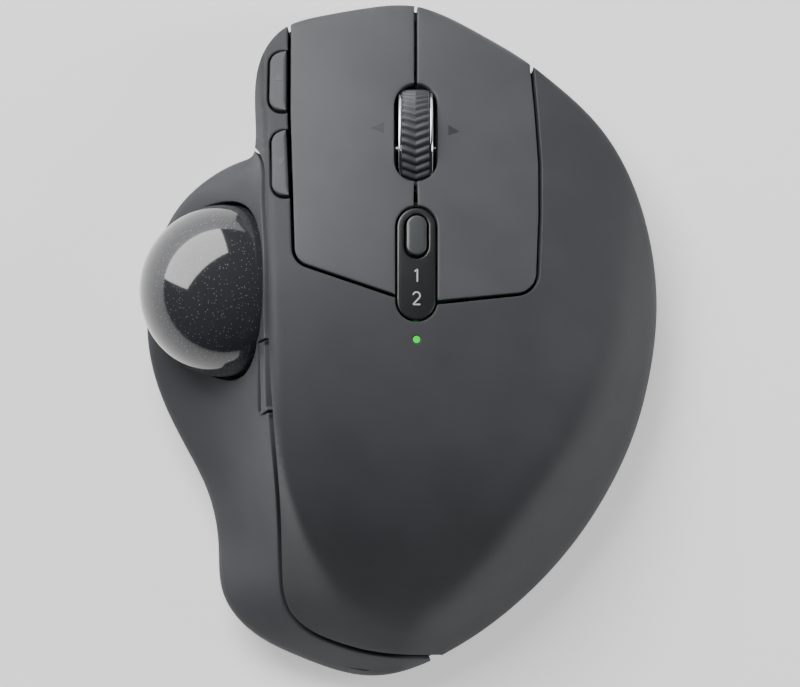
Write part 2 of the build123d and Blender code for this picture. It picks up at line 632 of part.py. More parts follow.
with BuildPart(wheel_plane) as wheel_press_frame:
    Box(2 * RING_OUT, 2 * RING_END, RING_H)
    Box(2 * RING_IN, 2 * RING_REACH, RING_H, mode=Mode.SUBTRACT)
    with Locations((0, -PRESS_BACK, 0)):
        Cylinder(1.9, 2 * RING_OUT, rotation=(0, 90, 0))
    Cylinder(YOKE_PIN_R + RUN, 3 * RING_END, rotation=(90, 0, 0), mode=Mode.SUBTRACT)
    with Locations((0, -PRESS_BACK, 0)):
        Cylinder(PRESS_PIN_R + RUN, 40, rotation=(0, 90, 0), mode=Mode.SUBTRACT)

with BuildPart(wheel_plane) as wheel_press_pin:
    with Locations((0, -PRESS_BACK, 0)):
        Cylinder(PRESS_PIN_R, 2 * SIDE_OUT, rotation=(0, 90, 0))

SHELF_Z = 33.5
SHELF_T = 1.5
SHELF_TOP = SHELF_Z + SHELF_T
with BuildPart() as wheel_bracket:
    with BuildSketch(Plane((SLOT_X, 0, 0), x_dir=(0, 1, 0), z_dir=(1, 0, 0))):
        with BuildLine():
            Polyline(
                (-4, BOARD_TOP), (53.5, BOARD_TOP), (53.5, 14.0), (31, 24), (27, 34.5),
                (24.5, 36.5), (-4, 36.5), close=True,
            )
        make_face()
    extrude(amount=SIDE_OUT, both=True)
    with Locations((SLOT_X, 40, BOARD_TOP + 1.0)):
        Box(2 * SIDE_IN, 100, 60, align=(Align.CENTER, Align.CENTER, Align.MIN), mode=Mode.SUBTRACT)
    with Locations((SLOT_X, 8.0, SHELF_Z)):
        Box(2 * SIDE_IN, 24.0, SHELF_T, align=(Align.CENTER, Align.CENTER, Align.MIN))
    with Locations(wheel_plane):
        with Locations((0, -PRESS_BACK, 0)):
            Cylinder(PRESS_PIN_R, 60, rotation=(0, 90, 0), mode=Mode.SUBTRACT)

# ---- boards, switches and the rest of the inside ------------------------------------------------
with BuildPart() as main_board:
    with BuildSketch(Plane.XY.offset(BOARD_Z)):
        with BuildLine():
            Polyline(
                (-16, -11), (21.5, -11), (21.5, 47), (15.5, 53.5), (-16, 53.5), (-16, 32),
                (-9, 32), (-9, 8), (-16, 8), close=True,
            )
        make_face()
    extrude(amount=BOARD_T)

with BuildPart() as left_switch:
    with Locations((*LEFT_SWITCH, BOARD_TOP)):
        Box(*SWITCH, align=(Align.CENTER, Align.CENTER, Align.MIN))
        Cylinder(PLUNGER_R, SWITCH[2] + 0.1, align=(Align.CENTER, Align.CENTER, Align.MIN))

with BuildPart() as right_switch:
    with Locations((*RIGHT_SWITCH, BOARD_TOP)):
        Box(*SWITCH, align=(Align.CENTER, Align.CENTER, Align.MIN))
        Cylinder(PLUNGER_R, SWITCH[2] + 0.1, align=(Align.CENTER, Align.CENTER, Align.MIN))

with BuildPart() as wheel_click_switch:
    with Locations((SLOT_X, 50.0, BOARD_TOP + 1.0)):
        Box(6, 6, WHEEL_SWITCH_H, align=(Align.CENTER, Align.CENTER, Align.MIN))

with BuildPart() as side_bracket:
    for at_y, top in ((51.0, FORWARD_KEY_Z - 3.2), (35.0, BACK_KEY_Z - 3.2)):
        with Locations((-22.0, at_y, FLOOR_TOP)):
            Box(3.2, 4.0, top - FLOOR_TOP, align=(Align.CENTER, Align.CENTER, Align.MIN))

with BuildPart() as side_switches:
    for at_y, top in ((51.0, FORWARD_KEY_Z - 0.7), (35.0, BACK_KEY_Z - 0.7)):
        with Locations((-22.6, at_y, top)):
            Box(3.0, 4.0, 2.5, align=(Align.CENTER, Align.CENTER, Align.MAX))

with BuildPart() as precision_bracket:
    with Locations((-19.5, -7.5, FLOOR_TOP)):
        Box(3.0, 5.0, 36.0, align=(Align.CENTER, Align.CENTER, Align.MIN))

with BuildPart() as precision_switch:
    with Locations((-21.0, -7.5, 38.5)):
        Box(3.4, 4.0, 4.0, align=(Align.MAX, Align.CENTER, Align.CENTER))

with BuildPart() as channel_board:
    with Locations((SLOT_X, 8.0, SHELF_TOP)):
        Box(14.0, 23.0, 0.8, align=(Align.CENTER, Align.CENTER, Align.MIN))

with BuildPart() as channel_switch:
    with Locations((SLOT_X, 16.2, SHELF_TOP + 0.8)):
        Box(6.0, 6.0, 3.1, align=(Align.CENTER, Align.CENTER, Align.MIN))

with BuildPart() as status_led:
    with Locations((*LIGHT_AT, SHELF_TOP + 0.8)):
        Box(2.0, 1.6, 0.8, align=(Align.CENTER, Align.CENTER, Align.MIN))

with BuildPart() as status_light:
    with Locations((*LIGHT_AT, SHELF_TOP + 1.6)):
        Cylinder(LIGHT_R, 30, align=(Align.CENTER, Align.CENTER, Align.MIN))
    add(under_skin.part.moved(Location((0, 0, 0.05))), mode=Mode.INTERSECT)

with BuildPart() as battery:
    with Locations((7.0, -29.0, FLOOR_TOP)):
        Box(25.0, 30.0, 6.0, align=(Align.CENTER, Align.CENTER, Align.MIN))
    fillet(battery.edges().filter_by(Axis.Y), 2.0)

with BuildPart() as usb_port:
    with Locations(USB_AT):
        Box(*USB)
    with Locations((USB_AT[0], USB_AT[1] + USB[1] / 2, USB_AT[2])):
        Box(USB[0] - 0.8, 10.0, USB[2] - 0.8, mode=Mode.SUBTRACT)

with BuildPart() as magnets:
    with Locations(*[(x, y, HINGE_Z - HINGE_R + MAGNET_T / 2) for x, y in MAGNETS_FLAT]):
        Cylinder(MAGNET_R, MAGNET_T)
    with Locations(facet_right):
        with Locations(*[(MAGNET_OUT, y, MAGNET_T / 2) for y in MAGNETS_RIGHT]):
            Cylinder(MAGNET_R, MAGNET_T)

with BuildPart() as shell_screws:
    with Locations(*[(x, y, SCREW_SEAT) for x, y in SHELL_POSTS]):
        Cylinder(SCREW_HEAD_R, 1.8, align=(Align.CENTER, Align.CENTER, Align.MAX))
        Cylinder(
            SCREW_R, SCREW_TIP - SCREW_SEAT - 0.3, align=(Align.CENTER, Align.CENTER, Align.MIN)
        )

with BuildPart() as power_slider:
    with Locations((SLIDER_AT[0], SLIDER_AT[1] - SLIDER_TRAVEL / 2, FLOOR_TOP)):
        Box(*SLIDER, 1.8, align=(Align.CENTER, Align.CENTER, Align.MAX))
        with Locations((0, 0, 0.3)):
            Box(*SLIDER, 0.6, align=(Align.CENTER, Align.CENTER, Align.MAX))
            Box(
                SLIDER[0] + 2.0, SLIDER[1] + 1.0, 1.0,
                align=(Align.CENTER, Align.CENTER, Align.MIN),
            )

with BuildPart() as power_switch:
    with Locations((*SLIDER_AT, FLOOR_TOP)):
        Box(8.0, 13.0, 4.6, align=(Align.CENTER, Align.CENTER, Align.MIN))
        Box(
            SLIDER[0] + 3.0, SLIDER[1] + SLIDER_TRAVEL + 2.0, 1.8,
            align=(Align.CENTER, Align.CENTER, Align.MIN), mode=Mode.SUBTRACT,
        )

# ---- tilting base -------------------------------------------------------------------------------
BASE_PLAN = [
    (-42, 15), (-42, -2), (-36, -24), (-30, -46), (-6, -57), (14, -52), (33, -34), (42, -12),
    (43, 10), (38, 31), (26, 45), (6, 57), (-18, 56), (-23, 40), (-38, 26),
]
SLIDER_WINDOW = (9.0, 12.0)
with BuildPart() as steel_plate:
    with BuildSketch(Plane.XY.offset(SOLE)) as base_plan:
        with BuildLine():
            Polyline(*BASE_PLAN, close=True)
        make_face()
        fillet(base_plan.vertices(), 5.0)
        with Locations(BALL[:2]):
            Circle(EJECT_R, mode=Mode.SUBTRACT)
        with Locations(SLIDER_AT):
            Rectangle(*SLIDER_WINDOW, mode=Mode.SUBTRACT)
    extrude(amount=PLATE)
    with Locations(*[(HINGE_X, y, HINGE_Z) for y in HINGE_Y]):
        Cylinder(LUG_R, LUG, rotation=(90, 0, 0))
        Box(2 * LUG_R, LUG, HINGE_Z - SOLE, align=(Align.CENTER, Align.CENTER, Align.MAX))
        Cylinder(HINGE_PIN_R, 2 * LUG, rotation=(90, 0, 0), mode=Mode.SUBTRACT)

with BuildPart() as sole_pad:
    with BuildSketch() as sole_plan:
        with BuildLine():
            Polyline(*BASE_PLAN, close=True)
        make_face()
        fillet(sole_plan.vertices(), 5.0)
        offset(amount=-1.5)
        with Locations(BALL[:2]):
            Circle(EJECT_R, mode=Mode.SUBTRACT)
        with Locations(SLIDER_AT):
            Rectangle(*SLIDER_WINDOW, mode=Mode.SUBTRACT)
    extrude(amount=SOLE)

with BuildPart() as hinge_pins:
    with Locations(*[(HINGE_X, y, HINGE_Z) for y in HINGE_Y]):
        Cylinder(HINGE_PIN_R, PIN_LENGTH, rotation=(90, 0, 0))

# ---- export -------------------------------------------------------------------------------------
steel_plate.part.label = "steel_plate"
export_step(steel_plate.part, "parts/steel_plate.step")
sole_pad.part.label = "sole_pad"
export_step(sole_pad.part, "parts/sole_pad.step")
hinge_pins.part.label = "hinge_pins"
export_step(hinge_pins.part, "parts/hinge_pins.step")
bottom_shell.part.label = "bottom_shell"
export_step(bottom_shell.part, "parts/bottom_shell.step")
thumb_shell.part.label = "thumb_shell"
export_step(thumb_shell.part, "parts/thumb_shell.step")
top_cover.part.label = "top_cover"
export_step(top_cover.part, "parts/top_cover.step")
left_key.part.label = "left_key"
export_step(left_key.part, "parts/left_key.step")
right_key.part.label = "right_key"
export_step(right_key.part, "parts/right_key.step")
forward_key.part.label = "forward_key"
export_step(forward_key.part, "parts/forward_key.step")
back_key.part.label = "back_key"
export_step(back_key.part, "parts/back_key.step")
precision_key.part.label = "precision_key"
export_step(precision_key.part, "parts/precision_key.step")
channel_plate.part.label = "channel_plate"
export_step(channel_plate.part, "parts/channel_plate.step")
channel_button.part.label = "channel_button"
export_step(channel_button.part, "parts/channel_button.step")
trackball.part.label = "trackball"
export_step(trackball.part, "parts/trackball.step")
ball_cup.part.label = "ball_cup"
export_step(ball_cup.part, "parts/ball_cup.step")
cup_bearings.part.label = "cup_bearings"
export_step(cup_bearings.part, "parts/cup_bearings.step")
sensor_lens.part.label = "sensor_lens"
export_step(sensor_lens.part, "parts/sensor_lens.step")
sensor_chip.part.label = "sensor_chip"
export_step(sensor_chip.part, "parts/sensor_chip.step")
sensor_board.part.label = "sensor_board"
export_step(sensor_board.part, "parts/sensor_board.step")
wheel_hub.part.label = "wheel_hub"
export_step(wheel_hub.part, "parts/wheel_hub.step")
wheel_tyre.part.label = "wheel_tyre"
export_step(wheel_tyre.part, "parts/wheel_tyre.step")
wheel_rims.part.label = "wheel_rims"
export_step(wheel_rims.part, "parts/wheel_rims.step")
wheel_axle.part.label = "wheel_axle"
export_step(wheel_axle.part, "parts/wheel_axle.step")
wheel_tilt_yoke.part.label = "wheel_tilt_yoke"
export_step(wheel_tilt_yoke.part, "parts/wheel_tilt_yoke.step")
wheel_encoder.part.label = "wheel_encoder"
export_step(wheel_encoder.part, "parts/wheel_encoder.step")
wheel_press_frame.part.label = "wheel_press_frame"
export_step(wheel_press_frame.part, "parts/wheel_press_frame.step")
wheel_press_pin.part.label = "wheel_press_pin"
export_step(wheel_press_pin.part, "parts/wheel_press_pin.step")
wheel_bracket.part.label = "wheel_bracket"
export_step(wheel_bracket.part, "parts/wheel_bracket.step")
wheel_click_switch.part.label = "wheel_click_switch"
export_step(wheel_click_switch.part, "parts/wheel_click_switch.step")
main_board.part.label = "main_board"
export_step(main_board.part, "parts/main_board.step")
left_switch.part.label = "left_switch"
export_step(left_switch.part, "parts/left_switch.step")
right_switch.part.label = "right_switch"
export_step(right_switch.part, "parts/right_switch.step")
side_bracket.part.label = "side_bracket"
export_step(side_bracket.part, "parts/side_bracket.step")
side_switches.part.label = "side_switches"
export_step(side_switches.part, "parts/side_switches.step")
precision_bracket.part.label = "precision_bracket"
export_step(precision_bracket.part, "parts/precision_bracket.step")
precision_switch.part.label = "precision_switch"
export_step(precision_switch.part, "parts/precision_switch.step")
channel_board.part.label = "channel_board"
export_step(channel_board.part, "parts/channel_board.step")
channel_switch.part.label = "channel_switch"
export_step(channel_switch.part, "parts/channel_switch.step")
status_led.part.label = "status_led"
export_step(status_led.part, "parts/status_led.step")
status_light.part.label = "status_light"
export_step(status_light.part, "parts/status_light.step")
battery.part.label = "battery"
export_step(battery.part, "parts/battery.step")
usb_port.part.label = "usb_port"
export_step(usb_port.part, "parts/usb_port.step")
magnets.part.label = "magnets"
export_step(magnets.part, "parts/magnets.step")
shell_screws.part.label = "shell_screws"
export_step(shell_screws.part, "parts/shell_screws.step")
power_slider.part.label = "power_slider"
export_step(power_slider.part, "parts/power_slider.step")
power_switch.part.label = "power_switch"
export_step(power_switch.part, "parts/power_switch.step")
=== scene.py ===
from math import pi, radians

import bpy
import numpy as np
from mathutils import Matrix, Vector
from mathutils.geometry import delaunay_2d_cdt


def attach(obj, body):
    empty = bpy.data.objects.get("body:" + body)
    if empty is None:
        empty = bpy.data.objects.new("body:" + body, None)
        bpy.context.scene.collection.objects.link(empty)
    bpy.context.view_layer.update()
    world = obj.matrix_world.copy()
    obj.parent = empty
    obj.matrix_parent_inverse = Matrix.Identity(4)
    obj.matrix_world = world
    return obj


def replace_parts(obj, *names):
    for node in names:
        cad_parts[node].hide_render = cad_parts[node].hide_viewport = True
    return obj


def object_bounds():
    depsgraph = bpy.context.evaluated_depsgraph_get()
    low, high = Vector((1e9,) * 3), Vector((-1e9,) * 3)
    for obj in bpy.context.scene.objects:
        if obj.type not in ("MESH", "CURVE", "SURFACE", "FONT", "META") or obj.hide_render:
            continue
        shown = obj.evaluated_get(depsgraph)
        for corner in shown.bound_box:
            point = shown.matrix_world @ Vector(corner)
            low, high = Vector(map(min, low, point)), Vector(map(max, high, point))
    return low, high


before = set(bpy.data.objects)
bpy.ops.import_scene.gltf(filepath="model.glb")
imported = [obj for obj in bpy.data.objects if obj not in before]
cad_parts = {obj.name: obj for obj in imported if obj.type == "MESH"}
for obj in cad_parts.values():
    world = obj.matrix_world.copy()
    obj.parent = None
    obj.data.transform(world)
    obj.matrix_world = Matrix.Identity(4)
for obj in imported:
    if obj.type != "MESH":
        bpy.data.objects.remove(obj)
cad_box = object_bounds()

MM = 0.001
UP = np.array([0.0, 0.0, 1.0])


# ---- the skin of the mouse, in millimetres ------------------------------------------------------
def guide(*points):
    """Cubic curve through (y, value) points, straight beyond both ends."""
    y, v = np.array(points, float).T
    n, h = len(y), np.diff(y)
    matrix, right = np.eye(n), np.zeros(n)
    for i in range(1, n - 1):
        matrix[i, i - 1 : i + 2] = h[i - 1], 2 * (h[i - 1] + h[i]), h[i]
        right[i] = 6 * ((v[i + 1] - v[i]) / h[i] - (v[i] - v[i - 1]) / h[i - 1])
    bend = np.linalg.solve(matrix, right)

    def value(at, slope=False):
        at = np.asarray(at, float)
        inside = np.clip(at, y[0], y[-1])
        i = np.clip(np.searchsorted(y, inside) - 1, 0, n - 2)
        a, b, w = y[i + 1] - inside, inside - y[i], h[i]
        rise = (v[i + 1] - v[i]) / w - (bend[i + 1] - bend[i]) * w / 6
        steep = rise + (bend[i + 1] * b**2 - bend[i] * a**2) / (2 * w)
        if slope:
            return steep
        level = v[i] - bend[i] * w**2 / 6 + bend[i] * a**3 / (6 * w) + bend[i + 1] * b**3 / (6 * w)
        return level + rise * b + steep * (at - inside)

    return value


# fmt: off
CREST_Z = guide((-66.3, 10.5), (-62, 18.5), (-55, 29), (-45, 39.5), (-30, 48.3), (-15, 51.2),
                (0, 50.4), (15, 46.4), (30, 39.8), (45, 32), (57, 25.2), (66.3, 19.5))
CREST_X = guide((-66, -4), (-40, -6), (0, -9), (30, -8), (66, -4))
CAMBER = guide((-66, 0.008), (0, 0.006), (66, 0.0045))
RIGHT_X = guide((-66.3, 3), (-61.9, 9.5), (-53, 22.1), (-41.2, 33.6), (-29.3, 41.5), (-17.5, 46.8),
                (-5.6, 49.8), (6, 51), (21, 50.5), (40, 48), (66, 44))
RIGHT_Z = guide((-66, 8), (-50, 12), (-30, 14), (0, 15.5), (20, 16), (35, 18), (50, 22), (66, 24))
LEFT_X = guide((-66.3, -11), (-62.8, -19), (-56, -30.8), (-50, -34.8), (-40, -35.8), (-29.5, -38),
               (-20.4, -42.5), (-11, -47), (-1, -49.6), (9, -49.6), (19, -47.5), (26.8, -43.4),
               (32.6, -37), (36.2, -30.4), (39.5, -28.4), (48, -28.5), (66, -28.4))
LEFT_Z = guide((-66, 8), (-60, 10.5), (-52, 12), (-45, 12), (0, 12.5), (15, 13.5), (25, 15.5),
               (32, 18), (38, 20), (50, 20), (57, 18), (66, 13))
RIDGE_X = guide((-66, -3), (-60, -7), (-52, -12), (-44, -16.5), (-35, -20), (-25, -22.6),
                (-13, -24), (5, -24.8), (22, -25.4), (40, -26.2), (50, -26.6), (66, -26.4))
STRAIGHT = guide((-66, 0.97), (-55, 0.9), (-45, 0.6), (-30, 0.42), (25, 0.4), (40, 0.6), (66, 0.6))
ROUNDING = guide((-66, 4), (-50, 3.5), (-30, 2.2), (0, 1.4), (30, 1.0), (66, 0.8))

# plan outline, clockwise from the tip between the finger keys
OUTLINE = [
    (3.4, 66.2), (9.6, 64.1), (16.8, 60.3), (23.1, 56.6), (31.0, 50.7), (39.9, 42.0), (45.4, 32.9),
    (49.4, 21.0), (51.0, 6.0), (49.8, -5.6), (46.8, -17.5), (41.5, -29.3), (33.6, -41.2),
    (22.1, -53.0), (9.1, -61.9), (-5.7, -66.3), (-19.0, -62.8), (-30.8, -56.0), (-34.8, -50.0),
    (-35.8, -40.0), (-38.0, -29.5), (-42.5, -20.4), (-47.0, -11.0), (-49.6, -1.0), (-49.6, 9.0),
    (-47.5, 19.0), (-43.4, 26.8), (-37.0, 32.6), (-31.0, 35.6), (-28.9, 36.7), (-28.4, 38.6),
    (-28.5, 48.0), (-27.2, 56.0), (-22.9, 61.7), (-15.5, 64.3), (-7.0, 65.8),
]
# fmt: on
FLANK = 2.1  # steepness of the right flank
SHOULDER = 1.8  # softness of the fold between crown and flank
LIFT = 1.5  # how far the hollow's slope aims above the ridge
WALL_INSET = ((1.0, 4.5), (6.0, 2.0), (14.0, 0.0))  # (height, how far the side wall leans in)
SKIN_ENDS = (-66.0, 66.3)  # the skin is level in y beyond these
SLOPE_STEP = 0.05
PARTING_Z = 10.3  # where the covers end above the bottom shell
PARTING_RISE = 3.0  # how much higher that line is on the far right
PARTING_RISE_X = (30.0, 22.0)  # (where the rise starts, how long it is)


def lowest(a, b, soft):
    """The lower of two heights, with the fold between them rounded off."""
    return np.minimum(a, b) - soft * np.log1p(np.exp(-np.abs(a - b) / soft))


def crown(x, y):
    """The palm's arch across, about its crest line."""
    return CREST_Z(y) - CAMBER(y) * (x - CREST_X(y)) ** 2


def skin_height(x, y):
    """The palm's crown, folded down to the right flank and to the hollow for the thumb."""
    flank = RIGHT_Z(y) + FLANK * (RIGHT_X(y) - x) / np.sqrt(1 + RIGHT_X(y, slope=True) ** 2)
    dome = lowest(crown(x, y), flank, SHOULDER)
    across = (x - LEFT_X(y)) / (RIDGE_X(y) - LEFT_X(y))
    top = crown(RIDGE_X(y), y) + LIFT
    bowl = STRAIGHT(y) * across + (1 - STRAIGHT(y)) * np.clip(across, 0, 1.5) ** 4
    return lowest(dome, LEFT_Z(y) + (top - LEFT_Z(y)) * bowl, ROUNDING(y))


def on_skin(plan, lift=0.0):
    """Points of the skin above plan points, and the skin's unit normals there."""
    x, y = plan[:, 0], np.clip(plan[:, 1], *SKIN_ENDS)
    d = SLOPE_STEP
    slope_x = (skin_height(x + d, y) - skin_height(x - d, y)) / (2 * d)
    slope_y = (skin_height(x, y + d) - skin_height(x, y - d)) / (2 * d)
    normal = np.stack([-slope_x, -slope_y, np.ones_like(x)], axis=1)
    normal /= np.linalg.norm(normal, axis=1)[:, None]
    point = np.stack([plan[:, 0], plan[:, 1], skin_height(x, y)], axis=1)
    return point + lift * normal, normal


def parting_height(x):
    start, length = PARTING_RISE_X
    return PARTING_Z + np.clip((x - start) * PARTING_RISE / length, 0, PARTING_RISE)


# ---- plan lines ---------------------------------------------------------------------------------
def smooth_line(points, count, closed=False):
    """Cubic curve through plan points, by chord length, as count points."""
    p = np.array(points, float)
    if closed:
        p = np.vstack([p[-5:], p, p[:6]])
    s = np.concatenate([[0], np.cumsum(np.linalg.norm(np.diff(p, axis=0), axis=1))])
    first, last = (s[5], s[-6]) if closed else (s[0], s[-1])
    u = np.linspace(first, last, count, endpoint=not closed)
    return np.stack([guide(*zip(s, p[:, 0]))(u), guide(*zip(s, p[:, 1]))(u)], axis=1)


def arc(centre, radius, start, end, count=24):
    turn = np.radians(np.linspace(start, end, count))
    return np.stack([centre[0] + radius * np.cos(turn), centre[1] + radius * np.sin(turn)], axis=1)


def stadium(centre, width, length):
    """A slot with round ends, long in y, anticlockwise."""
    r, half = width / 2, (length - width) / 2
    return np.vstack([
        arc((centre[0], centre[1] + half), r, 0, 180),
        arc((centre[0], centre[1] - half), r, 180, 360),
    ])


def corner(before, at, after, radius, count=10):
    """The rounded corner between two straight plan lines, as a tangent arc."""
    before, at, after = (np.array(p, float) for p in (before, at, after))
    to_a = (before - at) / np.linalg.norm(before - at)
    to_b = (after - at) / np.linalg.norm(after - at)
    half = np.arccos(np.clip(to_a @ to_b, -1, 1)) / 2
    reach = radius / np.tan(half)
    centre = at + (to_a + to_b) / np.linalg.norm(to_a + to_b) * radius / np.sin(half)
    t = np.linspace(0, 1, count)[:, None]
    chord = (1 - t) * (at + to_a * reach) + t * (at + to_b * reach) - centre
    return centre + chord / np.linalg.norm(chord, axis=1)[:, None] * radius


OUTER = smooth_line(OUTLINE, 2400, closed=True)


def outline_between(start, end):
    """The stretch of the plan outline, clockwise, between the points nearest start and end."""
    first = int(np.argmin(np.linalg.norm(OUTER - start, axis=1)))
    last = int(np.argmin(np.linalg.norm(OUTER - end, axis=1)))
    count = (last - first) % len(OUTER) + 1
    return OUTER[(first + np.arange(count)) % len(OUTER)]


def loop(*stretches, step=0.5):
    """Joins (points, is_outline) stretches into one closed loop, evenly spaced, anticlockwise."""
    points = np.vstack([s for s, _ in stretches])
    edge = np.concatenate([np.full(len(s), float(flag)) for s, flag in stretches])
    x, y = points.T
    if np.sum(x * np.roll(y, -1) - np.roll(x, -1) * y) < 0:
        points, edge = points[::-1], edge[::-1]
    around = np.vstack([points, points[:1]])
    s = np.concatenate([[0], np.cumsum(np.linalg.norm(np.diff(around, axis=0), axis=1))])
    u = np.linspace(0, s[-1], max(24, int(s[-1] / step)), endpoint=False)
    spaced = np.stack([np.interp(u, s, around[:, 0]), np.interp(u, s, around[:, 1])], axis=1)
    flags = np.interp(u, s, np.append(edge, edge[0])) > 0.5
    return spaced, flags


SHARP_TURN = radians(24)
ROW_STEPS = (0.2, 0.4, 0.6, 0.8, 1.0)  # shares of the way along a rim's round or wall


def add_mesh(name, points, faces, material, body, sharp=False):
    """A mesh object at the origin from points in millimetres and arrays of faces."""
    mesh = bpy.data.meshes.new(name)
    lists = [f for block in faces for f in np.asarray(block).tolist()]
    mesh.from_pydata((np.asarray(points) * MM).tolist(), [], lists)
    mesh.polygons.foreach_set("use_smooth", [not sharp] * len(mesh.polygons))
    mesh.materials.append(material)
    mesh.update()
    piece = bpy.data.objects.new(name, mesh)
    bpy.context.scene.collection.objects.link(piece)
    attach(piece, body)
    return piece


def bridge(low, high, closed=True):
    """Quads between two rows of point numbers."""
    a, b = np.asarray(low), np.asarray(high)
    if closed:
        return np.stack([a, b, np.roll(b, -1), np.roll(a, -1)], axis=1)
    return np.stack([a[:-1], b[:-1], b[1:], a[1:]], axis=1)


def inside(points, loops):
    """Even-odd test of plan points against closed loops."""
    odd = np.zeros(len(points), bool)
    for ring in loops:
        a, b = ring, np.roll(ring, -1, axis=0)
        for k in range(0, len(points), 2000):
            x, y = points[k : k + 2000, 0, None], points[k : k + 2000, 1, None]
            spans = (a[:, 1] > y) != (b[:, 1] > y)
            rise = np.where(b[:, 1] == a[:, 1], 1e-9, b[:, 1] - a[:, 1])
            cross = a[:, 0] + (y - a[:, 1]) * (b[:, 0] - a[:, 0]) / rise
            odd[k : k + 2000] ^= (np.sum(spans & (x < cross), axis=1) % 2).astype(bool)
    return odd


def clearance(points, loops):
    """Distance of each plan point from the nearest loop point."""
    ring = np.vstack(loops)
    near = np.empty(len(points))
    for k in range(0, len(points), 1000):
        gap = points[k : k + 1000, None] - ring[None]
        near[k : k + 1000] = np.sqrt((gap**2).sum(axis=2).min(axis=1))
    return near


def fill_plan(loops, cell):
    """Triangles over the plan area inside loops: a honeycomb of points joined to the loops."""
    loops = [ring.astype(np.float32).astype(float) for ring in loops]  # as the mesh will hold them
    low, high = np.vstack(loops).min(axis=0), np.vstack(loops).max(axis=0)
    rows = np.arange(low[1], high[1], cell * 0.866)
    columns = np.arange(low[0], high[0], cell)
    gx, gy = np.meshgrid(columns, rows)
    gx = gx + (np.arange(len(rows)) % 2)[:, None] * cell / 2
    grid = np.stack([gx.ravel(), gy.ravel()], axis=1)
    grid = grid[inside(grid, loops)]
    grid = grid[clearance(grid, loops) > cell * 0.55].astype(np.float32).astype(float)
    points = np.vstack([*loops, grid])
    edges, first = [], 0
    for ring in loops:
        index = first + np.arange(len(ring))
        edges += np.stack([index, np.roll(index, -1)], axis=1).tolist()
        first += len(ring)
    flat = [Vector(p) for p in points.tolist()]
    done = delaunay_2d_cdt(flat, edges, [], 0, 1e-6)
    faces = np.array([f for f in done[2] if len(f) == 3])
    middle = points[faces].mean(axis=1)
    faces = faces[inside(middle, loops)]
    return points, faces


def rim_width(ring, width, inward, loops):
    """The rim's width at each point, less in narrow strips and nothing at sharp corners."""
    others = np.vstack([other for other, _ in loops])
    gap = others[None] - ring[:, None]
    reach = np.sqrt((gap**2).sum(axis=2)) + 1e-9
    ahead = (gap * inward[:, None]).sum(axis=2) > 0.25 * reach
    width = np.minimum(width, 0.4 * np.where(ahead & (reach > 1e-6), reach, 99).min(axis=1))
    step = np.roll(ring, -1, axis=0) - ring
    length = np.linalg.norm(step, axis=1)
    heading = np.arctan2(step[:, 1], step[:, 0])
    turn = np.abs((heading - np.roll(heading, 1) + pi) % (2 * pi) - pi)
    sharp = np.flatnonzero(turn > SHARP_TURN)
    at = np.concatenate([[0], np.cumsum(length)])[:-1]
    if not len(sharp):
        return width
    gap = np.abs(at[:, None] - at[sharp][None])
    near = np.minimum(gap, length.sum() - gap).min(axis=1)
    return np.minimum(width, 0.6 * near + 0.004)


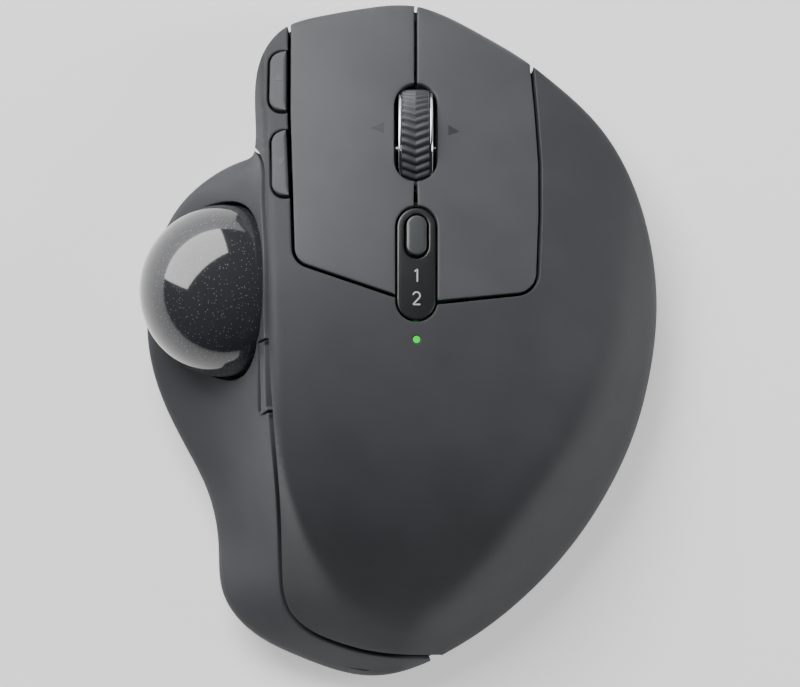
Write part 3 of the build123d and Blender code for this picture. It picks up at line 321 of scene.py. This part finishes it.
def panel(name, loops, material, body, lift=0.0, roll=0.35, shoulder=1.4, depth=1.6, low=None,
          cell=0.9):
    """A moulded panel: the skin over a plan area, with its rim turned down.

    Across a seam the rim is a small quarter round and a wall square to the skin. Along the outline
    it is a wider round and the side wall, down to the height low(x), with an inner face behind it.
    A second skin, depth further in, closes the panel.
    """
    inner_loops, rims = [], []
    for ring, flags in loops:
        along = np.roll(ring, -1, axis=0) - np.roll(ring, 1, axis=0)
        along /= np.linalg.norm(along, axis=1)[:, None] + 1e-12
        inward = np.stack([-along[:, 1], along[:, 0]], axis=1)
        width = rim_width(ring, np.where(flags, shoulder, roll), inward, loops)[:, None]
        inner = ring + inward * width
        inner_loops.append(inner)
        rims.append((ring, flags, inward, width, inner))
    plan, faces = fill_plan(inner_loops, cell)
    top, normal = on_skin(plan, lift)
    under = top - depth * normal
    points = [top, under]
    count = len(top)
    blocks = [faces, faces[:, ::-1] + count]
    total, first = 2 * count, 0
    for ring, flags, inward, width, inner in rims:
        n = len(ring)
        edge = flags[:, None]
        start, up = top[first : first + n], normal[first : first + n]
        out = np.hstack([-inward, np.zeros((n, 1))])
        out = out - (out * up).sum(axis=1)[:, None] * up
        out /= np.linalg.norm(out, axis=1)[:, None]
        level = start[:, 2:] + out[:, 2:] / np.linalg.norm(out[:, :2], axis=1)[:, None] * width
        local = np.minimum(width, roll)
        rim_seam = start + out * local
        rim_edge = np.hstack([ring, level])
        control = np.where(edge, rim_edge, rim_seam)
        dropped = rim_edge - UP * (0.8 * width + 0.05)
        turned = np.where(edge, dropped, rim_seam - up * (local + 0.02))
        rows = []
        for t in ROW_STEPS:
            rows.append((1 - t) ** 2 * start + 2 * t * (1 - t) * control + t**2 * turned)
        foot = low(ring[:, 0])[:, None] if low else turned[:, 2:] - depth
        foot = np.minimum(foot, turned[:, 2:] - 0.2)
        for t in ROW_STEPS:
            z = turned[:, 2:] + (foot - turned[:, 2:]) * t
            inset = np.interp(z, *np.array(WALL_INSET).T)
            wall = np.hstack([ring + inward * inset, z])
            rows.append(np.where(edge, wall, turned - up * (depth - local) * t))
        bottom, last = rows[-1], under[first : first + n]
        for t in (0.0, 0.5):
            z = foot + (last[:, 2:] - foot) * t
            inset = np.interp(z, *np.array(WALL_INSET).T) + depth
            wall = np.hstack([ring + inward * inset, z])
            rows.append(np.where(edge, wall, bottom + (last - bottom) * (0.3 + 0.4 * t)))
        numbers = [first + np.arange(n)]
        for row in rows:
            points.append(row)
            numbers.append(total + np.arange(n))
            total += n
        numbers.append(count + first + np.arange(n))
        blocks += [bridge(a, b) for a, b in zip(numbers, numbers[1:])]
        first += n
    return add_mesh(name, np.vstack(points), blocks, material, body)


def hole(ring):
    """The same loop turned clockwise, so that a panel's rim goes into it."""
    points, flags = ring
    return points[::-1], flags[::-1]


# ---- materials ----------------------------------------------------------------------------------
def linear(code):
    """sRGB hex to linear RGBA."""
    s = np.array([int(code[i : i + 2], 16) for i in (0, 2, 4)]) / 255.0
    return (*np.where(s <= 0.04045, s / 12.92, ((s + 0.055) / 1.055) ** 2.4).tolist(), 1.0)


def add_node(tree, kind, inputs=None, **settings):
    """Adds one node with its settings. An input is a value, or a (node, output name) link."""
    made = tree.nodes.new(kind)
    for name, value in settings.items():
        setattr(made, name, value)
    for name, value in (inputs or {}).items():
        if isinstance(value, tuple) and len(value) == 2 and isinstance(value[0], bpy.types.Node):
            tree.links.new(value[0].outputs[value[1]], made.inputs[name])
        else:
            made.inputs[name].default_value = value
    return made


def finish_of(name, shade, roughness, grain_mm, depth_mm, spread=0.04, tint=0.06, **sockets):
    """A surface with an even raised grain, whose colour and roughness drift a little."""
    made = bpy.data.materials.new(name)
    made.use_nodes = True
    tree = made.node_tree
    skin = tree.nodes["Principled BSDF"]
    base = linear(shade)
    where = add_node(tree, "ShaderNodeTexCoord")
    grain = add_node(tree, "ShaderNodeTexNoise", {
        "Vector": (where, "Object"), "Scale": 1 / (grain_mm * MM), "Detail": 3.0, "Roughness": 0.6})
    cloud = add_node(tree, "ShaderNodeTexNoise", {
        "Vector": (where, "Object"), "Scale": 1 / (14 * MM), "Detail": 2.0})
    dark, light = ((*(c * k for c in base[:3]), 1.0) for k in (1 - tint, 1 + tint))
    mixed = add_node(tree, "ShaderNodeValToRGB", {"Fac": (cloud, "Fac")})
    mixed.color_ramp.elements[0].position, mixed.color_ramp.elements[0].color = 0.35, dark
    mixed.color_ramp.elements[1].position, mixed.color_ramp.elements[1].color = 0.65, light
    rough = add_node(tree, "ShaderNodeMapRange", {
        "Value": (grain, "Fac"), "From Min": 0.3, "From Max": 0.7,
        "To Min": roughness - spread, "To Max": roughness + spread})
    bump = add_node(tree, "ShaderNodeBump", {
        "Height": (grain, "Fac"), "Strength": 0.35, "Distance": depth_mm * MM})
    tree.links.new(mixed.outputs["Color"], skin.inputs["Base Color"])
    tree.links.new(rough.outputs["Result"], skin.inputs["Roughness"])
    tree.links.new(bump.outputs["Normal"], skin.inputs["Normal"])
    for socket, value in sockets.items():
        skin.inputs[socket.replace("_", " ")].default_value = value
    return made


# soft-touch lacquer over moulded ABS: dead matt, a fine dry grain, a weak broad sheen
SOFT = finish_of("soft_touch_lacquer", "47484b", 0.52, 0.35, 0.02, Coat_Weight=0.02,
                 Coat_Roughness=0.45, Specular_IOR_Level=0.1)
# the same lacquer on the thumb side, its colour painted a shade lighter to stand for the brighter
# light on that side
SOFT_THUMB_PAINTED_LIGHTER = finish_of("soft_touch_lacquer_thumb_painted_lighter", "525357", 0.5, 0.35, 0.02, Coat_Weight=0.02,
                       Coat_Roughness=0.45, Specular_IOR_Level=0.1)
# the same lacquer on the keys, its colour painted a shade lighter than the palm's to stand for the
# more light they catch, with a little more specular
SOFT_KEY_PAINTED_LIGHTER = finish_of("soft_touch_lacquer_keys_painted_lighter", "535457", 0.46, 0.35, 0.018, Coat_Weight=0.03,
                     Coat_Roughness=0.4, Specular_IOR_Level=0.14)
# bare moulded ABS of the small buttons: semi-matt, spark-eroded texture
ABS_PLATE = finish_of("abs_spark_plate", "1e2022", 0.36, 0.3, 0.015, Coat_Weight=0.15,
                      Coat_Roughness=0.25)
ABS_BUTTON = finish_of("abs_spark_button", "3b3e40", 0.4, 0.3, 0.015, Coat_Weight=0.1,
                       Coat_Roughness=0.3)
# black glass-filled ABS of the underside and the inside frames: rougher and darker
ABS_BLACK = finish_of("abs_black_moulded", "16171a", 0.55, 0.45, 0.03)
# the base plate's powder coat: a coarse orange peel
COATED_STEEL = finish_of("powder_coated_steel", "26282c", 0.5, 0.8, 0.04, Metallic=0.0)
# turned and ground pins: bright, with fine marks
STEEL = finish_of("ground_steel", "b9bbbf", 0.24, 0.15, 0.004, 0.05, 0.03, Metallic=1.0)
# plated rims of the wheel: near mirror
CHROME = finish_of("bright_chrome", "dcdde0", 0.08, 0.6, 0.002, 0.02, 0.02, Metallic=1.0)
# moulded rubber tyre and foot pad: deep matt, faintly dusty
RUBBER = finish_of("moulded_rubber", "33353a", 0.6, 0.25, 0.03)
RUBBER_PAD = finish_of("rubber_foot", "1d1e20", 0.75, 0.6, 0.05)
# green solder mask over glass fibre, with a soft gloss
BOARD = finish_of("solder_mask_green", "1c5a33", 0.32, 0.5, 0.02)
# clear acrylic of the sensor's lens
ACRYLIC = finish_of("clear_acrylic", "e8eef0", 0.06, 0.8, 0.001, 0.02, 0.01,
                    Transmission_Weight=0.85, IOR=1.49)
# ceramic bearing balls: white, glossy
CERAMIC = finish_of("zirconia_bearing", "ece9e2", 0.15, 0.4, 0.002, 0.03, 0.02)
# the battery's wrap: crinkled bright foil
FOIL = finish_of("battery_foil", "a9adb3", 0.3, 1.6, 0.12, 0.06, 0.05, Metallic=1.0)
# light grey printing ink of the digits, and the keys' darker pad-printed arrows
INK = finish_of("pad_ink_grey", "c9cacb", 0.5, 0.2, 0.005, 0.03, 0.02)
INK_DARK = finish_of("pad_ink_dark", "242528", 0.5, 0.2, 0.005, 0.03, 0.02)
# lit diffuser of the battery light: a saturated green glow
GLOW = finish_of("lit_diffuser_green", "08b030", 0.3, 0.3, 0.004)
GLOW.node_tree.nodes["Principled BSDF"].inputs["Emission Color"].default_value = linear("00ff38")
GLOW.node_tree.nodes["Principled BSDF"].inputs["Emission Strength"].default_value = 0.7


def ball_polymer():
    """Polished polymer with a sparse pale fleck that the sensor tracks, under a clear gloss."""
    made = finish_of("flecked_ball_polymer", "393a3e", 0.1, 0.5, 0.001, 0.02, 0.04,
                     Coat_Weight=0.5, Coat_Roughness=0.04, IOR=1.5)
    tree = made.node_tree
    skin = tree.nodes["Principled BSDF"]
    where = tree.nodes["Texture Coordinate"]
    ground = skin.inputs["Base Color"].links[0].from_node
    # flecks about 0.2 mm across, one for each 0.6 mm of the surface
    cells = add_node(tree, "ShaderNodeTexVoronoi", {
        "Vector": (where, "Object"), "Scale": 1 / (0.6 * MM), "Randomness": 1.0})
    fleck = add_node(tree, "ShaderNodeValToRGB", {"Fac": (cells, "Distance")})
    fleck.color_ramp.elements[0].position, fleck.color_ramp.elements[0].color = 0.13, (1, 1, 1, 1)
    fleck.color_ramp.elements[1].position, fleck.color_ramp.elements[1].color = 0.2, (0, 0, 0, 1)
    mixed = add_node(tree, "ShaderNodeMix", data_type="RGBA")
    tree.links.new(fleck.outputs["Color"], mixed.inputs["Factor"])
    tree.links.new(ground.outputs["Color"], mixed.inputs["A"])
    mixed.inputs["B"].default_value = linear("85868b")
    tree.links.new(mixed.outputs["Result"], skin.inputs["Base Color"])
    return made


BALL_FINISH = ball_polymer()

# ---- panels -------------------------------------------------------------------------------------
SLOT = 0.28  # half the gap between the two finger keys
SLOT_X = 3.3
SLOT_Y = 41.2
WHEEL_WIDTH, WHEEL_LENGTH = 8.5, 19.4
PLATE_AT, PLATE = (3.45, 15.3), (7.6, 22.1)
BUTTON_AT, BUTTON = (3.45, 20.75), (4.0, 7.9)
GAP = 0.38  # round the channel plate and its button
SEAM = 0.34  # between the palm cover and the thumb side
COVER_WALL = 1.8
COVER_LIFT = 0.08  # how far the fixed covers stand above the keys' skin
KEY_WALL = 1.2
KEY_FOOT = 12.2  # height that the finger keys' outer walls reach down to
BALL_GAP = 0.6
BALL_AT, BALL_R = np.array([-34.2, 10.0, 24.0]), 17.0
LIGHT_AT, LIGHT_R = (3.45, 0.4), 0.7
THUMB_SEAM = [
    (-36.0, 39.6), (-29.8, 38.9), (-27.5, 36.0), (-26.9, 30.0), (-26.4, 18.7), (-26.2, 4.0),
    (-25.2, -15.0), (-23.8, -35.0), (-23.6, -44.5), (-21.8, -53.6), (-18.0, -57.3),
    (-12.6, -59.8), (-5.6, -61.7), (6.1, -62.6), (16.0, -62.8),
]


def shifted(line, amount):
    """The plan line moved sideways to its left by amount."""
    along = np.gradient(line, axis=0)
    along /= np.linalg.norm(along, axis=1)[:, None]
    return line + amount * np.stack([-along[:, 1], along[:, 0]], axis=1)


def half_stadium(centre, size, grow, side):
    """One side of a slot with round ends: front to rear on the left (-1) or the right (+1)."""
    r, half = size[0] / 2 + grow, (size[1] - size[0]) / 2
    angles = (90, 180, 180, 270) if side < 0 else (90, 0, 0, -90)
    return np.vstack([
        arc((centre[0], centre[1] + half), r, angles[0], angles[1]),
        arc((centre[0], centre[1] - half), r, angles[2], angles[3]),
    ])


def cut(line, keep):
    return line[keep(line[:, 0], line[:, 1])]


wheel_left = half_stadium((SLOT_X, SLOT_Y), (WHEEL_WIDTH, WHEEL_LENGTH), 0, -1)
wheel_right = half_stadium((SLOT_X, SLOT_Y), (WHEEL_WIDTH, WHEEL_LENGTH), 0, 1)
wheel_left = cut(wheel_left, lambda x, y: x < SLOT_X - SLOT)
wheel_right = cut(wheel_right, lambda x, y: x > SLOT_X + SLOT)
plate_left = half_stadium(PLATE_AT, PLATE, GAP, -1)
plate_right = half_stadium(PLATE_AT, PLATE, GAP, 1)


def key_rear(x, side):
    """Height on the plan of a key's rear edge: a straight line towards the slot."""
    if side < 0:
        return 15.9 + (x + 20.4) * (7.9 - 15.9) / (SLOT_X - SLOT + 20.4)
    return 9.9 + (x - 26.9) * (7.4 - 9.9) / (SLOT_X + SLOT - 26.9)


left_inner = np.vstack([
    [[SLOT_X - SLOT, 66.0]], wheel_left,
    cut(plate_left, lambda x, y: (x < SLOT_X - SLOT) & (y > key_rear(x, -1))), [[-0.73, 9.25]],
])
left_corner = corner((3.0, 7.9), (-20.4, 15.9), (-21.4, 44.9), 3.5)
LEFT_KEY = loop(
    (left_inner, 0), (left_corner, 0), (np.array([[-21.4, 44.9], [-21.4, 61.9]]), 0),
    (outline_between((-21.4, 62.4), (SLOT_X - SLOT, 66.2)), 1),
)
right_inner = np.vstack([
    [[SLOT_X + SLOT, 66.0]], wheel_right,
    cut(plate_right, lambda x, y: (x > SLOT_X + SLOT) & (y > key_rear(x, 1))),
])
right_corner = corner((3.6, 7.4), (26.9, 9.9), (27.5, 25.0), 4.0)
RIGHT_KEY = loop(
    (right_inner, 0), (right_corner, 0),
    (np.array([[27.5, 25.0], [27.5, 35.0], [26.8, 44.9], [25.9, 54.7]]), 0),
    (outline_between((SLOT_X + SLOT, 66.1), (25.9, 54.9))[::-1], 1),
)

FORWARD = np.vstack([
    [[-22.2, 57.0]], corner((-22.2, 57.0), (-25.4, 57.0), (-25.6, 45.3), 2.4),
    corner((-25.4, 57.0), (-25.6, 45.3), (-22.2, 45.3), 2.4), [[-22.2, 45.3]],
])
BACK = np.vstack([
    [[-22.2, 41.3]], corner((-22.2, 41.3), (-25.1, 41.3), (-24.9, 28.5), 2.4),
    corner((-25.1, 41.3), (-24.9, 28.5), (-21.6, 28.5), 2.4), [[-21.6, 28.5]],
])
PRECISION = np.array([(-25.9, 0.2), (-27.3, -0.4), (-27.0, -14.4), (-25.5, -13.4)])


def straight(a, b, count=200):
    t = np.linspace(0, 1, count)[:, None]
    return (1 - t) * np.array(a, float) + t * np.array(b, float)


def within(line):
    return line[inside(line, [OUTER])]


seam = within(smooth_line(THUMB_SEAM, 600))
cover_seam = within(shifted(smooth_line(THUMB_SEAM, 600), SEAM))

key_left_gap = np.vstack([
    within(straight((-21.96, 75), (-21.96, 57.4))),
    corner((-21, 57.38), (-25.78, 57.38), (-25.98, 44.92), 2.78),
    corner((-25.78, 57.38), (-25.98, 44.92), (-21, 44.92), 2.78),
    [[-21.96, 44.92], [-21.85, 41.68]],
    corner((-21, 41.68), (-25.48, 41.68), (-25.28, 28.12), 2.78),
    corner((-25.48, 41.68), (-25.28, 28.12), (-21, 28.12), 2.78),
    [[-21.38, 28.12]],
    corner((-21.96, 44.9), (-20.96, 15.5), (2.84, 7.37), 4.06),
    arc((3.45, 8.05), 4.18, 172.7, 349.2),
    corner((3.64, 6.84), (27.44, 9.39), (28.06, 25.0), 4.56),
    [[28.06, 25.0], [28.06, 35.0], [27.36, 44.9]],
    within(straight((27.36, 44.95), (24.66, 75))),
])
TOP_COVER = loop(
    (outline_between(cover_seam[0], key_left_gap[0]), 1), (key_left_gap, 0),
    (outline_between(key_left_gap[-1], cover_seam[-1]), 1), (cover_seam[::-1], 0),
)
THUMB = loop(
    (cut(seam, lambda x, y: y > 0.75), 0),
    (np.array([[-26.25, 0.62], [-27.62, 0.02], [-27.42, -14.7], [-25.4, -13.9]]), 0),
    (cut(seam, lambda x, y: (y < -14.1) & (x < 6.3)), 0),
    (outline_between((6.3, -63.3), seam[0]), 1),
)


def key_foot(x):
    return KEY_FOOT + 0 * x


def ball_opening(radius, count=220):
    """Plan line where the skin is a radius from the ball's centre: the first crossing outwards."""
    turn = np.linspace(0, 2 * pi, count, endpoint=False)
    reach = np.linspace(0.5, 21, 800)
    x = BALL_AT[0] + np.cos(turn)[:, None] * reach
    y = BALL_AT[1] + np.sin(turn)[:, None] * reach
    away = np.sqrt(reach**2 + (skin_height(x, y) - BALL_AT[2]) ** 2) > radius
    away[:, :120] = False
    first = reach[np.argmax(away, axis=1)]
    return np.stack([BALL_AT[0] + np.cos(turn) * first, BALL_AT[1] + np.sin(turn) * first], axis=1)


ball_hole = hole(loop((ball_opening(BALL_R + BALL_GAP), 0)))
led_hole = hole(loop((arc(LIGHT_AT, LIGHT_R + 0.05, 0, 345), 0)))

button_gap = stadium(BUTTON_AT, BUTTON[0] + 2 * GAP, BUTTON[1] + 2 * GAP)
finger_key = {"depth": KEY_WALL, "low": key_foot}
fixed_cover = {"lift": COVER_LIFT, "depth": COVER_WALL, "low": parting_height}
side_key = {"lift": 0.6, "roll": 0.6, "depth": 3.4, "cell": 0.6}
pieces = {
    "left_key": panel("left_finger_key", [LEFT_KEY], SOFT_KEY_PAINTED_LIGHTER, "left_button", **finger_key),
    "right_key": panel("right_finger_key", [RIGHT_KEY], SOFT_KEY_PAINTED_LIGHTER, "right_button", **finger_key),
    "top_cover": panel("palm_cover", [TOP_COVER, led_hole], SOFT, "mouse", **fixed_cover),
    "thumb_shell": panel("thumb_side_shell", [THUMB, ball_hole], SOFT_THUMB_PAINTED_LIGHTER, "mouse",
                         **fixed_cover),
    "forward_key": panel("forward_side_key", [loop((FORWARD, 0), step=0.3)], SOFT_KEY_PAINTED_LIGHTER,
                         "forward_button", **side_key),
    "back_key": panel("back_side_key", [loop((BACK, 0), step=0.3)], SOFT_KEY_PAINTED_LIGHTER, "back_button",
                      **side_key),
    "precision_key": panel("precision_side_key", [loop((PRECISION, 0), step=0.25)], SOFT_KEY_PAINTED_LIGHTER,
                           "precision_button", lift=0.35, roll=0.3, depth=2.2, cell=0.4),
    "channel_plate": panel("channel_surround", [loop((stadium(PLATE_AT, *PLATE), 0), step=0.3),
                                                hole(loop((button_gap, 0), step=0.3))],
                           ABS_PLATE, "mouse", lift=-0.15, roll=0.4, depth=1.6, cell=0.6),
    "channel_button": panel("channel_push_button",
                            [loop((stadium(BUTTON_AT, *BUTTON), 0), step=0.3)], ABS_BUTTON,
                            "channel_push", lift=0.45, roll=0.6, depth=2.0, cell=0.5),
}
for node, piece in pieces.items():
    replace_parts(piece, node)

# ---- trackball ----------------------------------------------------------------------------------


def globe(name, centre, radius, material, body, rows=96, columns=192):
    """A sphere: rows of latitude by columns of longitude, closed with one point at each pole."""
    polar = np.linspace(0, pi, rows + 1)[1:-1, None]
    turn = np.linspace(0, 2 * pi, columns, endpoint=False)[None]
    grid = np.stack([np.sin(polar) * np.cos(turn), np.sin(polar) * np.sin(turn),
                     np.cos(polar) + 0 * turn], axis=2).reshape(-1, 3)
    points = centre + radius * np.vstack([grid, [[0, 0, 1], [0, 0, -1]]])
    number = np.arange((rows - 1) * columns).reshape(rows - 1, columns)
    quads = np.vstack([np.stack([number[i], number[i + 1], np.roll(number[i + 1], -1),
                                 np.roll(number[i], -1)], axis=1) for i in range(rows - 2)])
    top, bottom = len(grid), len(grid) + 1
    first, last = number[0], number[-1]
    cap = np.stack([np.full(columns, top), first, np.roll(first, -1)], axis=1)
    foot = np.stack([np.full(columns, bottom), np.roll(last, -1), last], axis=1)
    return add_mesh(name, points, [quads, cap, foot], material, body)


ball = globe("thumb_ball", BALL_AT, BALL_R, BALL_FINISH, "ball")
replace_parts(ball, "trackball")

# ---- scroll wheel -------------------------------------------------------------------------------
WHEEL_AT = np.array([SLOT_X, 37.7, 26.6])
WHEEL_R = 12.0
TREAD = 5.4  # width of the rubber tread
RIBS = 44
RIB_SWEEP = 0.62  # how far a rib runs back from the middle to the edge, in ribs
GROOVE = 0.5  # depth between two ribs
TREAD_EDGE = 0.15  # width over which the grooves fade out


def turned_ring(name, across, radius, material, body, around, relief=None):
    """A ring turned about the wheel's axle, from a closed profile (across, radius).

    relief(across, turn) is taken off the radius where it isn't zero.
    """
    turn = np.linspace(0, 2 * pi, around, endpoint=False)[None]
    u, r = np.array(across)[:, None], np.array(radius)[:, None] + 0 * turn
    if relief:
        r = r - relief(u, turn)
    points = np.stack([WHEEL_AT[0] + u + 0 * turn, WHEEL_AT[1] + r * np.cos(turn),
                       WHEEL_AT[2] + r * np.sin(turn)], axis=2).reshape(-1, 3)
    number = np.arange(len(across) * around).reshape(len(across), around)
    nxt, side = np.roll(number, -1, axis=0), np.roll(number, -1, axis=1)
    quads = np.stack([number, side, np.roll(nxt, -1, axis=1), nxt], axis=2).reshape(-1, 4)
    return add_mesh(name, points, [quads], material, body)


def chevrons(u, turn):
    """Grooves in a V across the tread, its point towards the front, fading at both edges."""
    phase = turn * RIBS / (2 * pi) + RIB_SWEEP * np.abs(u) / (TREAD / 2)
    wave = 0.5 - 0.5 * np.cos(2 * pi * phase)
    on_top = np.clip((TREAD / 2 - np.abs(u)) / TREAD_EDGE, 0, 1)
    return GROOVE * (1 - wave**0.5) * on_top


half = TREAD / 2
crown_u = np.linspace(-half, half, 31)
tyre_u = np.concatenate([crown_u, [half, half, half, 0, -half, -half, -half]])
tyre_r = np.concatenate([
    WHEEL_R - 0.25 * (np.abs(crown_u) / half) ** 4, [11.2, 10.0, 8.2, 8.2, 8.2, 10.0, 11.2]])


def tyre_relief(u, turn):
    """The chevrons on the tread's outer face only, which is the first part of the profile."""
    depth = chevrons(u, turn)
    depth[len(crown_u):] = 0
    return depth


tyre = turned_ring("wheel_tread", tyre_u, tyre_r, RUBBER, "wheel", RIBS * 16, tyre_relief)
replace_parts(tyre, "wheel_tyre")


def rim(name, side):
    """One plated rim: a washer with a rounded outer edge beside the tread."""
    start, thick, outer, inner = half, 0.7, WHEEL_R - 0.4, 7.0
    turn = np.linspace(0, pi, 13)
    u = np.concatenate([start + thick / 2 - thick / 2 * np.cos(turn), [start + thick, start]])
    r = np.concatenate([outer - thick / 2 + thick / 2 * np.sin(turn), [inner, inner]])
    if side < 0:
        u, r = -u[::-1], r[::-1]
    return turned_ring(name, u, r, CHROME, "wheel", 160)


for side, name in ((-1, "wheel_rim_left"), (1, "wheel_rim_right")):
    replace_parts(rim(name, side), "wheel_rims")

# ---- printed marks ------------------------------------------------------------------------------


MARK_FILM = 0.12  # thickness of a printed arrow
STROKE_FILM = 0.1  # thickness of a printed line
KEY_PRINT, SIDE_PRINT, PLATE_PRINT = 0.03, 0.64, -0.11  # heights of the prints over the skin
STROKE = 0.28  # width of the digits' lines


def printed_mark(name, outline, material, body, lift):
    """A thin film in the shape of a convex plan outline, lying on the skin."""
    top, normal = on_skin(np.array(outline, float), lift)
    n = len(top)
    centre, up = on_skin(np.mean(outline, axis=0)[None], lift)
    points = np.vstack([top, centre, top - MARK_FILM * normal, centre - MARK_FILM * up])
    ring = np.arange(n)
    nxt = np.roll(ring, -1)
    face = np.stack([ring, nxt, np.full(n, n)], axis=1)
    back = np.stack([nxt + n + 1, ring + n + 1, np.full(n, 2 * n + 1)], axis=1)
    sides = np.stack([ring, ring + n + 1, nxt + n + 1, nxt], axis=1)
    return add_mesh(name, points, [face, back, sides], material, body, sharp=True)


def printed_stroke(name, path, width, material, body, lift):
    """A thin ribbon of even width along a plan line, lying on the skin."""
    path = np.array(path, float)
    left, right = shifted(path, width / 2), shifted(path, -width / 2)
    a, up_a = on_skin(left, lift)
    b, up_b = on_skin(right, lift)
    rows = np.stack([b, a, a - STROKE_FILM * up_a, b - STROKE_FILM * up_b])
    n = len(path)
    number = np.arange(4 * n).reshape(4, n)
    blocks = [np.stack([number[i, :-1], number[i, 1:], number[(i + 1) % 4, 1:],
                        number[(i + 1) % 4, :-1]], axis=1) for i in range(4)]
    ends = np.array([number[:, 0], number[::-1, -1]])
    return add_mesh(name, rows.reshape(-1, 3), [*blocks, ends], material, body, sharp=True)


for name, outline, body, height in (
    ("arrow_left", [(-5.5, 42.0), (-3.0, 41.0), (-3.0, 43.1)], "left_button", KEY_PRINT),
    ("arrow_right", [(11.95, 41.3), (9.7, 42.6), (9.7, 40.5)], "right_button", KEY_PRINT),
    ("arrow_forward", [(-23.7, 52.5), (-24.5, 51.1), (-22.9, 51.1)], "forward_button", SIDE_PRINT),
    ("arrow_back", [(-23.1, 34.2), (-22.2, 35.8), (-24.0, 35.8)], "back_button", SIDE_PRINT),
):
    printed_mark(name, outline, INK_DARK, body, height)

one = np.vstack([
    straight((3.1, 13.75), (3.62, 14.2), 6), straight((3.62, 14.2), (3.62, 11.75), 12),
])
two = np.vstack([
    arc((3.45, 9.03), 0.68, 170, -20, 14), straight((4.0, 8.6), (2.8, 7.3), 8),
    straight((2.85, 7.28), (4.2, 7.28), 6),
])
for name, path in (("digit_1", one), ("digit_2", two)):
    printed_stroke(name, path, STROKE, INK, "mouse", PLATE_PRINT)

# ---- finishes of the pieces that keep their shape -----------------------------------------------
KEPT = {
    "steel_plate": COATED_STEEL, "sole_pad": RUBBER_PAD, "hinge_pins": STEEL,
    "bottom_shell": ABS_BLACK, "ball_cup": ABS_BLACK, "cup_bearings": CERAMIC,
    "sensor_lens": ACRYLIC, "sensor_chip": ABS_BLACK, "sensor_board": BOARD,
    "wheel_hub": ABS_BLACK, "wheel_axle": STEEL, "wheel_tilt_yoke": ABS_BLACK,
    "wheel_encoder": ABS_BLACK, "wheel_press_frame": ABS_BLACK, "wheel_press_pin": STEEL,
    "wheel_bracket": ABS_BLACK, "wheel_click_switch": ABS_BLACK, "main_board": BOARD,
    "left_switch": ABS_BLACK, "right_switch": ABS_BLACK, "side_bracket": ABS_BLACK,
    "side_switches": ABS_BLACK, "precision_bracket": ABS_BLACK, "precision_switch": ABS_BLACK,
    "channel_board": BOARD, "channel_switch": ABS_BLACK, "status_led": CERAMIC,
    "status_light": GLOW, "battery": FOIL, "usb_port": STEEL, "magnets": STEEL,
    "shell_screws": STEEL, "power_slider": ABS_PLATE, "power_switch": ABS_BLACK,
}
for node, material in KEPT.items():
    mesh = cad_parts[node].data
    mesh.materials.clear()
    mesh.materials.append(material)

# ---- floor, light and camera --------------------------------------------------------------------
FLOOR_HALF = 4
desk_z = cad_box[0][2]
floor_corners = [(i * FLOOR_HALF, j * FLOOR_HALF, desk_z)
                 for i, j in ((-1, -1), (1, -1), (1, 1), (-1, 1))]
floor_mesh = bpy.data.meshes.new("floor")
floor_mesh.from_pydata(floor_corners, [], [(0, 1, 2, 3)])
floor = bpy.data.objects.new("floor", floor_mesh)
bpy.context.scene.collection.objects.link(floor)
paper = finish_of("studio_floor", "fafafa", 0.7, 3.0, 0.01, 0.02, 0.005)
floor_skin = paper.node_tree.nodes["Principled BSDF"]
floor_skin.inputs["Emission Color"].default_value = linear("ffffff")
floor_skin.inputs["Emission Strength"].default_value = 0.6
floor_mesh.materials.append(paper)


def area_light(name, at, towards, size, power, glossy=True, diffuse=True):
    lamp = bpy.data.lights.new(name, "AREA")
    lamp.shape, lamp.size, lamp.size_y, lamp.energy = "RECTANGLE", size[0], size[1], power
    made = bpy.data.objects.new(name, lamp)
    made.location = at
    made.rotation_euler = (Vector(towards) - Vector(at)).to_track_quat("-Z", "Y").to_euler()
    made.visible_glossy = glossy
    made.visible_diffuse = diffuse
    bpy.context.scene.collection.objects.link(made)


area_light("front_left_softbox", (-0.62, 0.68, 0.34), (0, 0, 0.03), (1.5, 1.05), 46,
           diffuse=False)
area_light("front_key", (-0.4, 0.8, 1.25), (0, 0, 0), (0.8, 0.8), 25, glossy=False)
area_light("right_streak", (0.8, 0.1, 0.42), (0, 0, 0.03), (0.16, 0.8), 2.6)

world = bpy.data.worlds.new("studio")
world.use_nodes = True
world.node_tree.nodes["Background"].inputs["Color"].default_value = linear("c9cbce")
world.node_tree.nodes["Background"].inputs["Strength"].default_value = 0.05
bpy.context.scene.world = world

DISTANCE = 3.0
FRAMED_Z = 0.02  # height at which the picture is WIDTH across
WIDTH = 0.158
view = bpy.data.cameras.new("camera")
view.lens = view.sensor_width * (DISTANCE - FRAMED_Z) / WIDTH
view.clip_end = 10
camera = bpy.data.objects.new("camera", view)
camera.location = (0.0002, -0.0004, DISTANCE)
bpy.context.scene.collection.objects.link(camera)
bpy.context.scene.camera = camera
